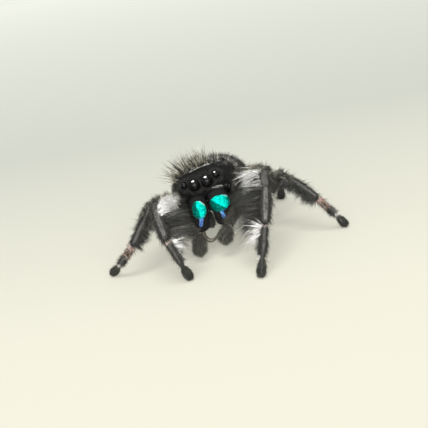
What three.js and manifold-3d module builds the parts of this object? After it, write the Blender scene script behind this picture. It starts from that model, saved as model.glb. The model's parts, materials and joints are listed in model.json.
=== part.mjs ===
// An adult male jumping spider of the bold-jumper kind, life size, in millimetres.
// +Z is up, the animal looks along -Y and its left side is +X. Every foot rests on z = 0.
// The prosoma (head and chest) is laid out in its own frame, given as [forward, left, up].
import * as THREE from "three";
import Module from "manifold-3d";

const wasm = await Module();
wasm.setup();

// ---------- driving dimensions ----------
const GAP = 0.03; // clearance between neighbouring pieces
const SLIVER = 0.015; // surface detail smaller than this is merged away

const EYE_LINE_HEIGHT = 4.85; // front eyes above the ground
const EYE_FORWARD = 2.75; // front eyes ahead of the middle of the carapace
const EYE_UP = 1.15; // front eyes above the carapace's lower edge
const HEAD_PITCH = 8; // degrees, nose up
const HEAD_ROLL = 11; // degrees, left side up
const HEAD_YAW = 5; // degrees, looking a little to its right

const SHELL_BACK = -2.85; // rear and front ends of the carapace
const SHELL_FRONT = 2.72;
const SHELL_BOXINESS = 2.7; // 2 is an ellipse, more is squarer
const SHELL_WAIST = 0.38; // widest part of a section, as a share of its height

// Stout bristles stand in staggered rows across the crown, the first row ahead.
const BRISTLE_ROWS = 3;
const BRISTLES_ACROSS = 5;
const BRISTLE_AHEAD = 1.05;
const BRISTLE_ROW_STEP = 0.45;
const BRISTLE_SPACING = 0.55;
const BRISTLE_LENGTHS = [0.95, 0.8, 0.7]; // row by row
const BRISTLE_RADIUS = 0.045;
const BRISTLE_ROOT = 0.12; // how deep a bristle is set in
const BRISTLE_LEAN = 0.3; // towards the front and the nearer side

const ABDOMEN_LENGTH = 6.6;
const ABDOMEN_WIDTH = 3.9;
const ABDOMEN_HEIGHT = 3.45;
const ABDOMEN_START = 0.12; // behind the waist
const ABDOMEN_TURN = 18; // degrees its tail swings to the animal's left
const ABDOMEN_DROOP = 15; // degrees its tail hangs down
const ABDOMEN_ROLL = 9; // degrees, left side up

const FOOT_RADIUS = 0.32;
const FOOT_CENTRE = 0.25; // height of the foot's round, which the ground cuts flat

// Each pair of legs: where it leaves the prosoma, its trochanter, the lengths of patella, tibia,
// metatarsus and tarsus, the half thickness of each segment, and how far the femur arches up.
const PAIRS = {
  1: {
    hip: [1.4, 0.9, -0.82],
    trochanter: [1.7, 1.75, -0.85],
    lengths: [1.8, 2.65, 2.0, 1.15],
    thick: { femur: 0.57, patella: 0.45, tibia: 0.47, metatarsus: 0.3 },
    arch: 0.42,
  },
  2: {
    hip: [0.5, 0.98, -0.85],
    trochanter: [0.55, 2.1, -0.9],
    lengths: [1.55, 2.0, 1.75, 1.0],
    thick: { femur: 0.45, patella: 0.37, tibia: 0.37, metatarsus: 0.28 },
    arch: 0.25,
  },
  3: {
    hip: [-0.5, 0.98, -0.85],
    trochanter: [-0.75, 2.1, -0.9],
    lengths: [1.25, 1.6, 1.7, 0.9],
    thick: { femur: 0.43, patella: 0.35, tibia: 0.33, metatarsus: 0.27 },
    arch: 0.15,
  },
  4: {
    hip: [-1.45, 0.9, -0.82],
    trochanter: [-1.95, 1.75, -0.9],
    lengths: [1.35, 2.0, 1.85, 0.95],
    thick: { femur: 0.44, patella: 0.35, tibia: 0.34, metatarsus: 0.27 },
    arch: 0.15,
  },
};

// The stance: each knee, each foot on the ground, how the lower leg's plane leans (degrees), and
// how its bend is shared between the three joints below the knee.
const STANCE = {
  leg_1_left: { knee: [4.2, -0.7, 5.2], foot: [2.77, -5.9], lean: -23, bend: [0.42, 0.45, 0.13] },
  leg_1_right: { knee: [-3.1, -0.8, 4.2], foot: [-1.72, -4.4], lean: 26, bend: [0.27, 0.66, 0.07] },
  leg_2_left: { knee: [5.6, 2.4, 3.6], foot: [9.2, -0.1], lean: 46, bend: [0.34, 0.54, 0.12] },
  leg_2_right: { knee: [-3.75, 0.35, 3.8], foot: [-6.75, -1.55], lean: -67, bend: [0.32, 0.51, 0.17] },
  leg_3_left: { knee: [5.15, 4.0, 2.2], foot: [5.8, 7.6], lean: 12, bend: [0.36, 0.46, 0.18] },
  leg_3_right: { knee: [-3.35, 3.7, 1.85], foot: [-4.45, 8.1], lean: 20, bend: [0.36, 0.46, 0.18] },
  leg_4_left: { knee: [4.3, 6.2, 1.95], foot: [5.5, 11.3], lean: 8, bend: [0.4, 0.4, 0.2] },
  leg_4_right: { knee: [-1.95, 6.6, 1.7], foot: [-1.65, 11.9], lean: -4, bend: [0.4, 0.4, 0.2] },
};

// The jaws, fangs and palps hang a little towards the animal's right.
const JAW = {
  left: [[2.35, 0.7, 0.35], [2.75, 0.76, -0.2], [2.93, 0.8, -0.85], [2.85, 0.72, -1.5], [2.78, 0.66, -2.0]],
  right: [
    [2.35, -0.64, 0.35], [2.75, -0.7, -0.2], [2.93, -0.79, -0.85], [2.85, -0.92, -1.5], [2.78, -1.02, -2.0],
  ],
};
const FANG = {
  left: [[2.85, 0.62, -1.98], [2.95, 0.5, -2.3], [2.85, 0.22, -2.55], [2.6, -0.02, -2.5]],
  right: [
    [2.95, -0.98, -1.98], [3.15, -0.95, -2.35], [3.2, -0.62, -2.68], [3.1, -0.22, -2.6], [3.0, 0.02, -2.35],
  ],
};
const PALP = {
  left: [
    [1.95, 0.95, -0.95], [2.35, 1.55, -1.0], [2.95, 1.75, -1.15], [3.45, 1.35, -1.5], [3.6, 0.9, -1.85],
  ],
  right: [
    [1.95, -0.95, -0.95], [2.35, -1.6, -0.95], [2.95, -1.95, -1.15], [3.45, -1.7, -1.5], [3.6, -1.3, -1.85],
  ],
};
const PALP_CLUB = {
  left: [[3.58, 0.85, -1.9], [3.68, 0.62, -2.3], [3.72, 0.38, -2.75], [3.7, 0.22, -3.0]],
  right: [[3.58, -1.25, -1.9], [3.7, -1.32, -2.35], [3.76, -1.46, -2.85], [3.74, -1.56, -3.25]],
};
const MAXILLA = [[1.75, 0.5, -1.0], [2.05, 0.42, -1.5], [2.25, 0.34, -2.0]];
const STERNUM = [[1.7, 0, -0.8], [0, 0, -0.82], [-2.1, 0, -0.75]];

const SIDES = { left: 1, right: -1 };

const FINISHES = {
  hair: { color: 0x2b2a2a, roughness: 0.85, metalness: 0 },
  lens: { color: 0x08080a, roughness: 0.08, metalness: 0 },
  jaw: { color: 0x0fc9ae, roughness: 0.3, metalness: 0.9 },
  fang: { color: 0x2a1210, roughness: 0.25, metalness: 0 },
};

// ---------- frames ----------
const rad = (degrees) => (degrees * Math.PI) / 180;
const V = (x, y, z) => new THREE.Vector3(x, y, z);

// Unit vectors pointing ahead, left and up of a body turned away from straight along -Y.
function bodyFrame(yaw, pitch, roll) {
  const ahead = V(-Math.sin(yaw) * Math.cos(pitch), -Math.cos(yaw) * Math.cos(pitch), Math.sin(pitch));
  const levelLeft = V(Math.cos(yaw), -Math.sin(yaw), 0);
  const levelUp = levelLeft.clone().cross(ahead).negate();
  const toLeft = levelLeft.clone().multiplyScalar(Math.cos(roll)).addScaledVector(levelUp, Math.sin(roll));
  const upward = levelUp.clone().multiplyScalar(Math.cos(roll)).addScaledVector(levelLeft, -Math.sin(roll));
  return { ahead, toLeft, upward };
}

// Turns [ahead, left, up] in a frame at an origin into a point.
function placer(origin, { ahead, toLeft, upward }) {
  return ([a, l, u]) =>
    origin.clone().addScaledVector(ahead, a).addScaledVector(toLeft, l).addScaledVector(upward, u);
}

const prosomaFrame = bodyFrame(rad(HEAD_YAW), rad(HEAD_PITCH), rad(HEAD_ROLL));
const chest = placer(V(0, 0, EYE_LINE_HEIGHT), prosomaFrame)([-EYE_FORWARD, 0, -EYE_UP]);
const head = placer(chest, prosomaFrame);

const abdomenFrame = bodyFrame(rad(ABDOMEN_TURN), rad(ABDOMEN_DROOP), rad(ABDOMEN_ROLL));
const waist = head([-2.8, 0, 0.05]);
const fromWaist = placer(waist, abdomenFrame);
const belly = ([back, l, u]) => fromWaist([-back, l, u]);

// ---------- curves ----------
// A smooth curve through [x, value] stops, flat beyond them.
function through(stops) {
  const last = stops.length - 1;
  const slope = (a, b) => (stops[b][1] - stops[a][1]) / (stops[b][0] - stops[a][0]);
  return (x) => {
    if (x <= stops[0][0]) return stops[0][1];
    if (x >= stops[last][0]) return stops[last][1];
    let i = 0;
    while (x > stops[i + 1][0]) i++;
    const h = stops[i + 1][0] - stops[i][0];
    const t = (x - stops[i][0]) / h;
    const startSlope = slope(Math.max(i - 1, 0), i + 1);
    const endSlope = slope(i, Math.min(i + 2, last));
    const start = stops[i][1] * (2 * t ** 3 - 3 * t ** 2 + 1) + startSlope * h * (t ** 3 - 2 * t ** 2 + t);
    const end = stops[i + 1][1] * (3 * t ** 2 - 2 * t ** 3) + endSlope * h * (t ** 3 - t ** 2);
    return start + end;
  };
}

// Stations along a body, closer together towards both rounded ends.
function eased(count, from, to) {
  const share = (i) => (1 - Math.cos((Math.PI * (i + 0.35)) / (count - 0.3))) / 2;
  return Array.from({ length: count }, (_, i) => from + (to - from) * share(i));
}

// ---------- closed bodies ----------
// Joins rings of equal length into one closed body, each end closed by a point.
function skin(first, rings, last) {
  const points = [first, ...rings.flat(), last];
  const n = rings[0].length;
  const top = rings.length - 1;
  const at = (r, k) => 1 + r * n + (k % n);
  const faces = [];
  for (let k = 0; k < n; k++) {
    faces.push([0, at(0, k + 1), at(0, k)]);
    for (let r = 0; r < top; r++) {
      faces.push([at(r, k), at(r, k + 1), at(r + 1, k + 1)]);
      faces.push([at(r, k), at(r + 1, k + 1), at(r + 1, k)]);
    }
    faces.push([points.length - 1, at(top, k), at(top, k + 1)]);
  }
  const make = (order) =>
    new wasm.Manifold(
      new wasm.Mesh({
        numProp: 3,
        vertProperties: new Float32Array(points.flatMap((p) => [p.x, p.y, p.z])),
        triVerts: new Uint32Array(faces.flatMap(order)),
      }),
    );
  const body = make(([a, b, c]) => [a, b, c]);
  return body.volume() > 0 ? body : make(([a, b, c]) => [a, c, b]);
}

function ring(centre, side, top, a, b, sides) {
  return Array.from({ length: sides }, (_, k) => {
    const w = (2 * Math.PI * k) / sides;
    return centre.clone().addScaledVector(side, a * Math.cos(w)).addScaledVector(top, b * Math.sin(w));
  });
}

// A quarter round: 0 at an end, 1 from a reach of 1 inwards.
const rounded = (d) => (d >= 1 ? 1 : Math.sqrt(Math.max(0, 1 - (1 - d) ** 2)));

// A limb along a bent line of joints. Each stop is [share of the length, half width, half height].
// Both ends are rounded over a cushion times their half width, and grow thickens the whole limb.
function limb(joints, stops, { grow, sides = 8, rings = 9, wide = null, cushion = 0.5 }) {
  const curve = new THREE.CatmullRomCurve3(joints, false, "centripetal");
  const length = curve.getLength();
  const halfWidth = through(stops.map(([t, a]) => [t, a]));
  const halfHeight = through(stops.map(([t, a, b]) => [t, b ?? a]));
  const startReach = stops[0][1] * cushion + grow;
  const endReach = stops.at(-1)[1] * cushion + grow;
  const side = wide ? wide.clone() : V(0, 0, 1).cross(curve.getTangentAt(0));
  const ringList = eased(rings, -grow, length + grow).map((distance) => {
    const t = THREE.MathUtils.clamp(distance / length, 0, 1);
    const along = curve.getTangentAt(t);
    const centre = curve.getPointAt(t).addScaledVector(along, distance - t * length);
    const round = rounded((distance + grow) / startReach) * rounded((length + grow - distance) / endReach);
    const [a, b] = [(halfWidth(t) + grow) * round, (halfHeight(t) + grow) * round];
    side.addScaledVector(along, -side.dot(along)).normalize();
    return ring(centre, side, along.clone().cross(side), a, b, sides);
  });
  const start = curve.getPointAt(0).addScaledVector(curve.getTangentAt(0), -grow);
  const end = curve.getPointAt(1).addScaledVector(curve.getTangentAt(1), grow);
  return skin(start, ringList, end);
}

function ball(centre, radius, { grow, sides, rows }) {
  const r = radius + grow;
  const { ahead, toLeft, upward } = prosomaFrame;
  const latitudes = Array.from({ length: rows - 1 }, (_, i) => Math.PI * ((i + 1) / rows - 0.5));
  const rings = latitudes.map((lat) => {
    const flat = r * Math.cos(lat);
    return ring(centre.clone().addScaledVector(ahead, r * Math.sin(lat)), toLeft, upward, flat, flat, sides);
  });
  return skin(centre.clone().addScaledVector(ahead, -r), rings, centre.clone().addScaledVector(ahead, r));
}

// ---------- carapace ----------
const shellHalfWidth = through([
  [-2.85, 0.9], [-2.3, 1.45], [-1.6, 1.95], [-0.9, 2.25], [-0.3, 2.33],
  [0.4, 2.28], [1.2, 2.08], [1.9, 1.86], [2.4, 1.68], [2.65, 1.55],
]);
const shellTop = through([
  [-2.85, 0.3], [-2.4, 0.75], [-1.8, 1.25], [-1.1, 1.72], [-0.4, 2.03],
  [0.4, 2.15], [1.2, 2.12], [1.9, 1.98], [2.4, 1.78], [2.65, 1.6],
]);
const shellBottom = through([
  [-2.85, -0.1], [-2.2, -0.35], [-1.2, -0.45], [1.3, -0.45], [1.8, -0.2], [2.2, 0.12], [2.65, 0.38],
]);
const shellMiddle = (f) => (shellBottom(f) + shellTop(f)) / 2;
const boxy = (w) => Math.sign(w) * Math.abs(w) ** (2 / SHELL_BOXINESS);

// A point of the carapace at a forward station and an angle from its left side; 90 degrees is the top.
function shellPoint(f, angle, grow = 0) {
  const low = shellBottom(f) - grow;
  const high = shellTop(f) + grow;
  const widest = low + SHELL_WAIST * (high - low);
  const rise = boxy(Math.sin(angle));
  const reach = rise > 0 ? high - widest : widest - low;
  return [f, (shellHalfWidth(f) + grow) * boxy(Math.cos(angle)), widest + rise * reach];
}

function carapace(grow) {
  const sides = 24;
  const backRound = 0.35;
  const frontRound = 0.3;
  const fade = (d, reach) => (d >= reach ? 1 : (1 - (1 - d / reach) ** 2.4) ** (1 / 2.4));
  const rings = eased(14, SHELL_BACK - grow, SHELL_FRONT + grow).map((f) => {
    const shrink = fade(f - SHELL_BACK + grow, backRound) * fade(SHELL_FRONT + grow - f, frontRound);
    return Array.from({ length: sides }, (_, k) => {
      const [, l, u] = shellPoint(f, (2 * Math.PI * (k + 0.5)) / sides, grow);
      return head([f, l * shrink, shellMiddle(f) + (u - shellMiddle(f)) * shrink]);
    });
  });
  const end = (f) => head([f, 0, shellMiddle(f)]);
  const shell = skin(end(SHELL_BACK - grow), rings, end(SHELL_FRONT + grow));
  return wasm.Manifold.union([shell, ...crownBristles(grow)]);
}

function crownBristles(grow) {
  const bristles = [];
  for (let row = 0; row < BRISTLE_ROWS; row++) {
    const f = BRISTLE_AHEAD - row * BRISTLE_ROW_STEP;
    for (let k = 0; k < BRISTLES_ACROSS; k++) {
      const l = (k - (BRISTLES_ACROSS - 1) / 2 + (row % 2) / 2) * BRISTLE_SPACING;
      const share = Math.abs(l) / shellHalfWidth(f);
      const angle = Math.acos(Math.sign(l) * share ** (SHELL_BOXINESS / 2));
      const u = shellPoint(f, angle)[2];
      const tall = BRISTLE_LENGTHS[row];
      const tip = head([f + BRISTLE_LEAN * tall, l + BRISTLE_LEAN * l * tall, u + tall]);
      const root = head([f, l, u - BRISTLE_ROOT]);
      const thin = [[0, BRISTLE_RADIUS], [1, BRISTLE_RADIUS * 0.4]];
      bristles.push(limb([root, tip], thin, { grow, sides: 4, rings: 2 }));
    }
  }
  return bristles;
}

// ---------- abdomen ----------
const abdomenSize = through([
  [0, 0.34], [0.04, 0.6], [0.12, 0.84], [0.25, 0.97], [0.4, 1],
  [0.58, 0.95], [0.75, 0.8], [0.88, 0.57], [0.96, 0.34], [1, 0.16],
]);
const abdomenLift = through([[0, 0.3], [0.12, 0.28], [0.3, 0.2], [0.5, 0.08], [0.8, -0.12], [1, -0.35]]);

function abdomen(grow) {
  const sides = 16;
  const place = (s) => ABDOMEN_START - grow + s * (ABDOMEN_LENGTH + 2 * grow);
  const rings = eased(11, 0, 1).map((s) => {
    const a = (ABDOMEN_WIDTH / 2) * abdomenSize(s) + grow;
    const b = (ABDOMEN_HEIGHT / 2) * abdomenSize(s) + grow;
    const centre = belly([place(s), 0, abdomenLift(s)]);
    return ring(centre, abdomenFrame.toLeft, abdomenFrame.upward, a, b, sides);
  });
  return skin(belly([place(0), 0, abdomenLift(0)]), rings, belly([place(1), 0, abdomenLift(1)]));
}

function spinneret(side, low) {
  const tail = ABDOMEN_START + ABDOMEN_LENGTH;
  const out = 0.19 * SIDES[side];
  const radius = low ? 0.18 : 0.15;
  const [start, end, drop] = low ? [-0.6, 0.25, -0.58] : [-0.5, 0.35, -0.22];
  const line = [belly([tail + start, out, drop]), belly([tail + end, out, drop - 0.05])];
  return (grow) => limb(line, [[0, radius], [0.7, radius * 0.94], [1, radius * 0.67]], { grow, rings: 5 });
}

// ---------- eyes ----------
const eyeAngle = (side, degrees) => rad(side === "left" ? degrees : 180 - degrees);

// A point just inside the carapace, for an eye that sits in its surface.
function socket(side, f, degrees, depth) {
  const [, l, u] = shellPoint(f, eyeAngle(side, degrees));
  return [f, l * (1 - 0.65 * depth), u - 0.6 * depth];
}

const EYES = {
  front_middle_eye: { radius: 0.41, sides: 12, rows: 7, at: (side) => [2.62, 0.44 * SIDES[side], 1.16] },
  front_side_eye: { radius: 0.26, sides: 10, rows: 7, at: (side) => [2.5, 1.13 * SIDES[side], 1.36] },
  small_eye: { radius: 0.13, sides: 8, rows: 5, at: (side) => socket(side, 1.25, 50, 0.03) },
  rear_eye: { radius: 0.23, sides: 10, rows: 6, at: (side) => socket(side, 0.3, 48, 0.07) },
};

// ---------- legs ----------
// The joints from knee to foot: a chain in one plane that curls evenly until it just reaches.
function lowerLeg(knee, foot, lengths, bend, lean) {
  const reach = foot.clone().sub(knee);
  const lay = (curl) => {
    let angle = 0;
    const at = [new THREE.Vector2(0, 0)];
    lengths.forEach((length, i) => {
      if (i > 0) angle -= bend[i - 1] * curl;
      at.push(new THREE.Vector2(length * Math.cos(angle), length * Math.sin(angle)).add(at[i]));
    });
    return at;
  };
  let [straight, curled] = [0, 4.5];
  for (let i = 0; i < 50; i++) {
    const middle = (straight + curled) / 2;
    if (lay(middle).at(-1).length() > reach.length()) straight = middle;
    else curled = middle;
  }
  const chain = lay(straight);
  const end = chain.at(-1).clone().normalize();
  const normal = new THREE.Vector2(-end.y, end.x);
  const along = reach.clone().normalize();
  const across = along.clone().cross(V(0, 0, 1)).normalize();
  const rise = across.clone().cross(along);
  const out = rise.multiplyScalar(Math.cos(lean)).addScaledVector(across, Math.sin(lean));
  const place = (p) => knee.clone().addScaledVector(along, p.dot(end)).addScaledVector(out, p.dot(normal));
  return chain.map(place);
}

const between = (a, b, t) => a.clone().lerp(b, t);
const beyond = (a, b, distance) => b.clone().addScaledVector(b.clone().sub(a).normalize(), distance);

function legSolids(name) {
  const [, pair, side] = name.split("_");
  const { hip, trochanter, lengths, thick, arch } = PAIRS[pair];
  const { knee, foot, lean, bend } = STANCE[name];
  const onSide = ([f, l, u]) => head([f, l * SIDES[side], u]);
  const [root, joint] = [onSide(hip), onSide(trochanter)];
  const kneeAt = V(...knee);
  const footAt = V(foot[0], foot[1], FOOT_CENTRE);
  const [, patellaEnd, tibiaEnd, metatarsusEnd] = lowerLeg(kneeAt, footAt, lengths, bend, rad(lean));
  const { femur, patella, tibia, metatarsus } = thick;

  const coxaLine = [root, between(root, joint, 0.5), beyond(root, joint, 0.2)];
  const femurLine = [joint, between(joint, kneeAt, 0.5).add(V(0, 0, arch)), beyond(joint, kneeAt, 0.12)];
  const tibiaLine = [kneeAt, between(kneeAt, patellaEnd, 0.5), patellaEnd];
  tibiaLine.push(between(patellaEnd, tibiaEnd, 0.5), beyond(patellaEnd, tibiaEnd, 0.06));
  const tarsusLine = [tibiaEnd, between(tibiaEnd, metatarsusEnd, 0.5), metatarsusEnd];
  tarsusLine.push(footAt, beyond(metatarsusEnd, footAt, 0.1));

  const coxaStops = [[0, 0.4], [0.4, 0.46], [0.75, 0.44], [1, 0.4]];
  const femurStops = [
    [0, femur * 0.72],
    [0.2, femur * 0.92],
    [0.45, femur, femur * 1.2],
    [0.8, femur * 0.9],
    [1, femur * 0.72],
  ];
  const tibiaStops = [
    [0, patella * 0.85],
    [0.2, patella],
    [0.4, patella * 0.92],
    [0.6, tibia],
    [0.85, tibia * 0.92],
    [1, tibia * 0.7],
  ];
  const tarsusStops = [
    [0, metatarsus],
    [0.35, metatarsus * 0.95],
    [0.56, metatarsus * 0.85],
    [0.66, metatarsus * 0.7],
    [0.84, metatarsus * 1.08],
    [1, metatarsus * 1.05],
  ];
  return {
    coxa: (grow) => limb(coxaLine, coxaStops, { grow, rings: 5, cushion: 0.8 }),
    femur: (grow) => limb(femurLine, femurStops, { grow, rings: 7, cushion: 0.8 }),
    tibia: (grow) => limb(tibiaLine, tibiaStops, { grow, rings: 9, cushion: 0.8 }),
    tarsus: (grow) =>
      limb(tarsusLine, tarsusStops, { grow, rings: 8, cushion: 0.6 }).add(
        ball(footAt, FOOT_RADIUS, { grow, sides: 8, rows: 4 }),
      ),
  };
}

// ---------- mouthparts ----------
const { toLeft: headLeft, upward: headUp } = prosomaFrame;

function chelicera(side) {
  const stops = [[0, 0.5, 0.4], [0.25, 0.63, 0.55], [0.5, 0.63, 0.58], [0.75, 0.56, 0.52], [1, 0.46, 0.42]];
  const look = { sides: 12, rings: 8, wide: headLeft, cushion: 0.7 };
  return (grow) => limb(JAW[side].map(head), stops, { grow, ...look });
}

function fang(side) {
  const stops = [[0, 0.2], [0.3, 0.18], [0.7, 0.13], [1, 0.08]];
  return (grow) => limb(FANG[side].map(head), stops, { grow, sides: 6, rings: 8 });
}

function maxilla(side) {
  const line = MAXILLA.map(([f, l, u]) => head([f, l * SIDES[side], u]));
  const stops = [[0, 0.36, 0.25], [0.5, 0.4, 0.25], [1, 0.28, 0.2]];
  return (grow) => limb(line, stops, { grow, rings: 6, wide: headLeft });
}

function palp(side) {
  const stops = [[0, 0.27], [0.3, 0.29], [0.7, 0.29], [1, 0.27]];
  return (grow) => limb(PALP[side].map(head), stops, { grow, rings: 7, wide: headUp });
}

function palpClub(side) {
  const stops = [[0, 0.32], [0.4, 0.43], [0.75, 0.44], [1, 0.32]];
  const look = { sides: 10, wide: headLeft, cushion: 0.9 };
  return (grow) => limb(PALP_CLUB[side].map(head), stops, { grow, ...look });
}

function sternum(grow) {
  const stops = [[0, 0.45, 0.3], [0.3, 0.62, 0.34], [0.7, 0.6, 0.34], [1, 0.35, 0.25]];
  return limb(STERNUM.map(head), stops, { grow, sides: 8, rings: 7, wide: headLeft });
}

function pedicel(grow) {
  const line = [head([-2.6, 0, 0.05]), head([-2.8, 0, 0.1]), belly([0.7, 0, 0.1])];
  return limb(line, [[0, 0.3], [0.5, 0.27], [1, 0.3]], { grow, rings: 5 });
}

// ---------- all the pieces ----------
// Each piece is cut back by those listed before it, so the order says which one keeps its shape.
const pieces = [];
const add = (group, name, finish, build) => pieces.push({ group, name, finish, build });
const bothSides = (group, name, finish, make) => {
  for (const side of Object.keys(SIDES)) add(group, `${name}_${side}`, finish, make(side));
};

add("prosoma", "carapace", "hair", carapace);
for (const [name, { at, radius, sides, rows }] of Object.entries(EYES)) {
  const eye = (side) => (grow) => ball(head(at(side)), radius, { grow, sides, rows });
  bothSides("prosoma", name, "lens", eye);
}
bothSides("prosoma", "chelicera", "jaw", chelicera);
bothSides("prosoma", "fang", "fang", fang);
add("prosoma", "sternum", "hair", sternum);
bothSides("prosoma", "maxilla", "hair", maxilla);
const legs = Object.keys(STANCE).map((name) => ({ name, solids: legSolids(name) }));
for (const segment of ["coxa", "femur", "tibia", "tarsus"]) {
  for (const { name, solids } of legs) add(name, `${name}_${segment}`, "hair", solids[segment]);
}
bothSides("palps", "palp_club", "hair", palpClub);
bothSides("palps", "palp", "hair", palp);
add("opisthosoma", "pedicel", "hair", pedicel);
add("opisthosoma", "abdomen", "hair", abdomen);
bothSides("opisthosoma", "spinneret_upper", "hair", (side) => spinneret(side, false));
bothSides("opisthosoma", "spinneret_lower", "hair", (side) => spinneret(side, true));

// The half space above the ground, as a large box.
const REACH = 40;
const CORNERS = [[-1, -1], [1, -1], [1, 1], [-1, 1]];
const corners = (z) => CORNERS.map(([x, y]) => V(x * REACH, y * REACH, z));
const aboveGround = skin(V(0, 0, 0), [corners(0), corners(REACH)], V(0, 0, REACH));

function boxesMeet(a, b) {
  const [p, q] = [a.boundingBox(), b.boundingBox()];
  return [0, 1, 2].every((i) => p.min[i] < q.max[i] && q.min[i] < p.max[i]);
}

// A mesh whose position is the middle of its own box.
function toMesh(body, name, finish) {
  const { vertProperties, triVerts } = body.getMesh();
  const geometry = new THREE.BufferGeometry();
  geometry.setAttribute("position", new THREE.BufferAttribute(Float32Array.from(vertProperties), 3));
  geometry.setIndex([...triVerts]);
  geometry.computeBoundingBox();
  const centre = geometry.boundingBox.getCenter(V(0, 0, 0));
  geometry.translate(-centre.x, -centre.y, -centre.z);
  const mesh = new THREE.Mesh(geometry, new THREE.MeshStandardMaterial(FINISHES[finish]));
  mesh.name = name;
  mesh.position.copy(centre);
  return mesh;
}

const animal = new THREE.Group();
const groups = {};
const taken = [];
for (const { group, name, finish, build } of pieces) {
  let body = build(0);
  for (const earlier of taken) {
    if (boxesMeet(body, earlier)) body = body.subtract(earlier);
  }
  taken.push(build(GAP));
  body = body.simplify(SLIVER).intersect(aboveGround);
  const [largest] = body.decompose().sort((a, b) => b.volume() - a.volume());
  if (!groups[group]) {
    groups[group] = new THREE.Group();
    animal.add(groups[group]);
  }
  groups[group].add(toMesh(largest, name, finish));
}

// The origin goes under the middle of the whole animal's box, at ground level.
const middle = new THREE.Box3().setFromObject(animal).getCenter(V(0, 0, 0));
animal.position.set(-middle.x, -middle.y, 0);
const spider = new THREE.Group();
spider.add(animal);

export default spider;
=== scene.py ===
import json
import math

import bmesh
import bpy
import numpy as np
from mathutils import Matrix, Vector
from mathutils.bvhtree import BVHTree
from mathutils.kdtree import KDTree


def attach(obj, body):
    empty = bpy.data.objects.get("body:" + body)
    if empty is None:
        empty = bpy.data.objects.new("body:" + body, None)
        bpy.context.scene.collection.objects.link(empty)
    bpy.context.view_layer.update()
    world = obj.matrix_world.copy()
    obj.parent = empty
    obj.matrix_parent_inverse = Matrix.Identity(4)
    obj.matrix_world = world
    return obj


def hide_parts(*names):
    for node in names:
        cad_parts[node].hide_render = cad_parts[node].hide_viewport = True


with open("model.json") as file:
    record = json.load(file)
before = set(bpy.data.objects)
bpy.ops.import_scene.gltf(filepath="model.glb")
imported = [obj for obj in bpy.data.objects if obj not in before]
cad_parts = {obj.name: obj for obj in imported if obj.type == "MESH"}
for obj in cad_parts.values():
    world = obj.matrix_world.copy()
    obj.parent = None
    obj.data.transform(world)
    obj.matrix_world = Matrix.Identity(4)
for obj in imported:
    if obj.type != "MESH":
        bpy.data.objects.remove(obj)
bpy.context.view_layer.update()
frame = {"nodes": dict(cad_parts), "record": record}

MM = 0.001
rng = np.random.default_rng(20)

# ---------- the animal's sizes in millimetres and turns in degrees, laid out as the CAD part is ----------
EYE_LINE_HEIGHT = 4.85
EYE_FORWARD = 2.75
EYE_UP = 1.15
HEAD_PITCH = 8
HEAD_ROLL = 11
HEAD_YAW = 5

SHELL_BACK = -2.85
SHELL_FRONT = 2.72
SHELL_BOXINESS = 2.7
SHELL_WAIST = 0.38

# Stout bristles stand in staggered rows across the crown, the first row ahead.
BRISTLES_ACROSS = 5
BRISTLE_AHEAD = 1.05
BRISTLE_ROW_STEP = 0.45
BRISTLE_SPACING = 0.55
BRISTLE_LENGTHS = (0.95, 0.8, 0.7)
BRISTLE_LEAN = 0.3

ABDOMEN_LENGTH = 6.6
ABDOMEN_WIDTH = 3.9
ABDOMEN_HEIGHT = 3.45
ABDOMEN_START = 0.12
ABDOMEN_TURN = 18
ABDOMEN_DROOP = 15
ABDOMEN_ROLL = 9

FOOT_RADIUS = 0.32
FOOT_CENTRE = 0.25

# Each pair's hip and trochanter as (ahead, left, up) of the carapace, the lengths of patella, tibia,
# metatarsus and tarsus, the half widths of the limbs, and how far the thigh arches up.
PAIRS = {
    1: dict(hip=(1.4, 0.9, -0.82), trochanter=(1.7, 1.75, -0.85), lengths=(1.8, 2.65, 2.0, 1.15),
            femur=0.57, patella=0.45, tibia=0.47, metatarsus=0.3, arch=0.42),
    2: dict(hip=(0.5, 0.98, -0.85), trochanter=(0.55, 2.1, -0.9), lengths=(1.55, 2.0, 1.75, 1.0),
            femur=0.45, patella=0.37, tibia=0.37, metatarsus=0.28, arch=0.25),
    3: dict(hip=(-0.5, 0.98, -0.85), trochanter=(-0.75, 2.1, -0.9), lengths=(1.25, 1.6, 1.7, 0.9),
            femur=0.43, patella=0.35, tibia=0.33, metatarsus=0.27, arch=0.15),
    4: dict(hip=(-1.45, 0.9, -0.82), trochanter=(-1.95, 1.75, -0.9), lengths=(1.35, 2.0, 1.85, 0.95),
            femur=0.44, patella=0.35, tibia=0.34, metatarsus=0.27, arch=0.15),
}
# Where each leg's knee and foot are, how its plane leans, and how the bend is shared out below the knee.
STANCE = {
    "leg_1_left": dict(knee=(4.2, -0.7, 5.2), foot=(2.77, -5.9), lean=-23, bend=(0.42, 0.45, 0.13)),
    "leg_1_right": dict(knee=(-3.1, -0.8, 4.2), foot=(-1.72, -4.4), lean=26, bend=(0.27, 0.66, 0.07)),
    "leg_2_left": dict(knee=(5.6, 2.4, 3.6), foot=(9.2, -0.1), lean=46, bend=(0.34, 0.54, 0.12)),
    "leg_2_right": dict(knee=(-3.75, 0.35, 3.8), foot=(-6.75, -1.55), lean=-67, bend=(0.32, 0.51, 0.17)),
    "leg_3_left": dict(knee=(5.15, 4.0, 2.2), foot=(5.8, 7.6), lean=12, bend=(0.36, 0.46, 0.18)),
    "leg_3_right": dict(knee=(-3.35, 3.7, 1.85), foot=(-4.45, 8.1), lean=20, bend=(0.36, 0.46, 0.18)),
    "leg_4_left": dict(knee=(4.3, 6.2, 1.95), foot=(5.5, 11.3), lean=8, bend=(0.4, 0.4, 0.2)),
    "leg_4_right": dict(knee=(-1.95, 6.6, 1.7), foot=(-1.65, 11.9), lean=-4, bend=(0.4, 0.4, 0.2)),
}
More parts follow.
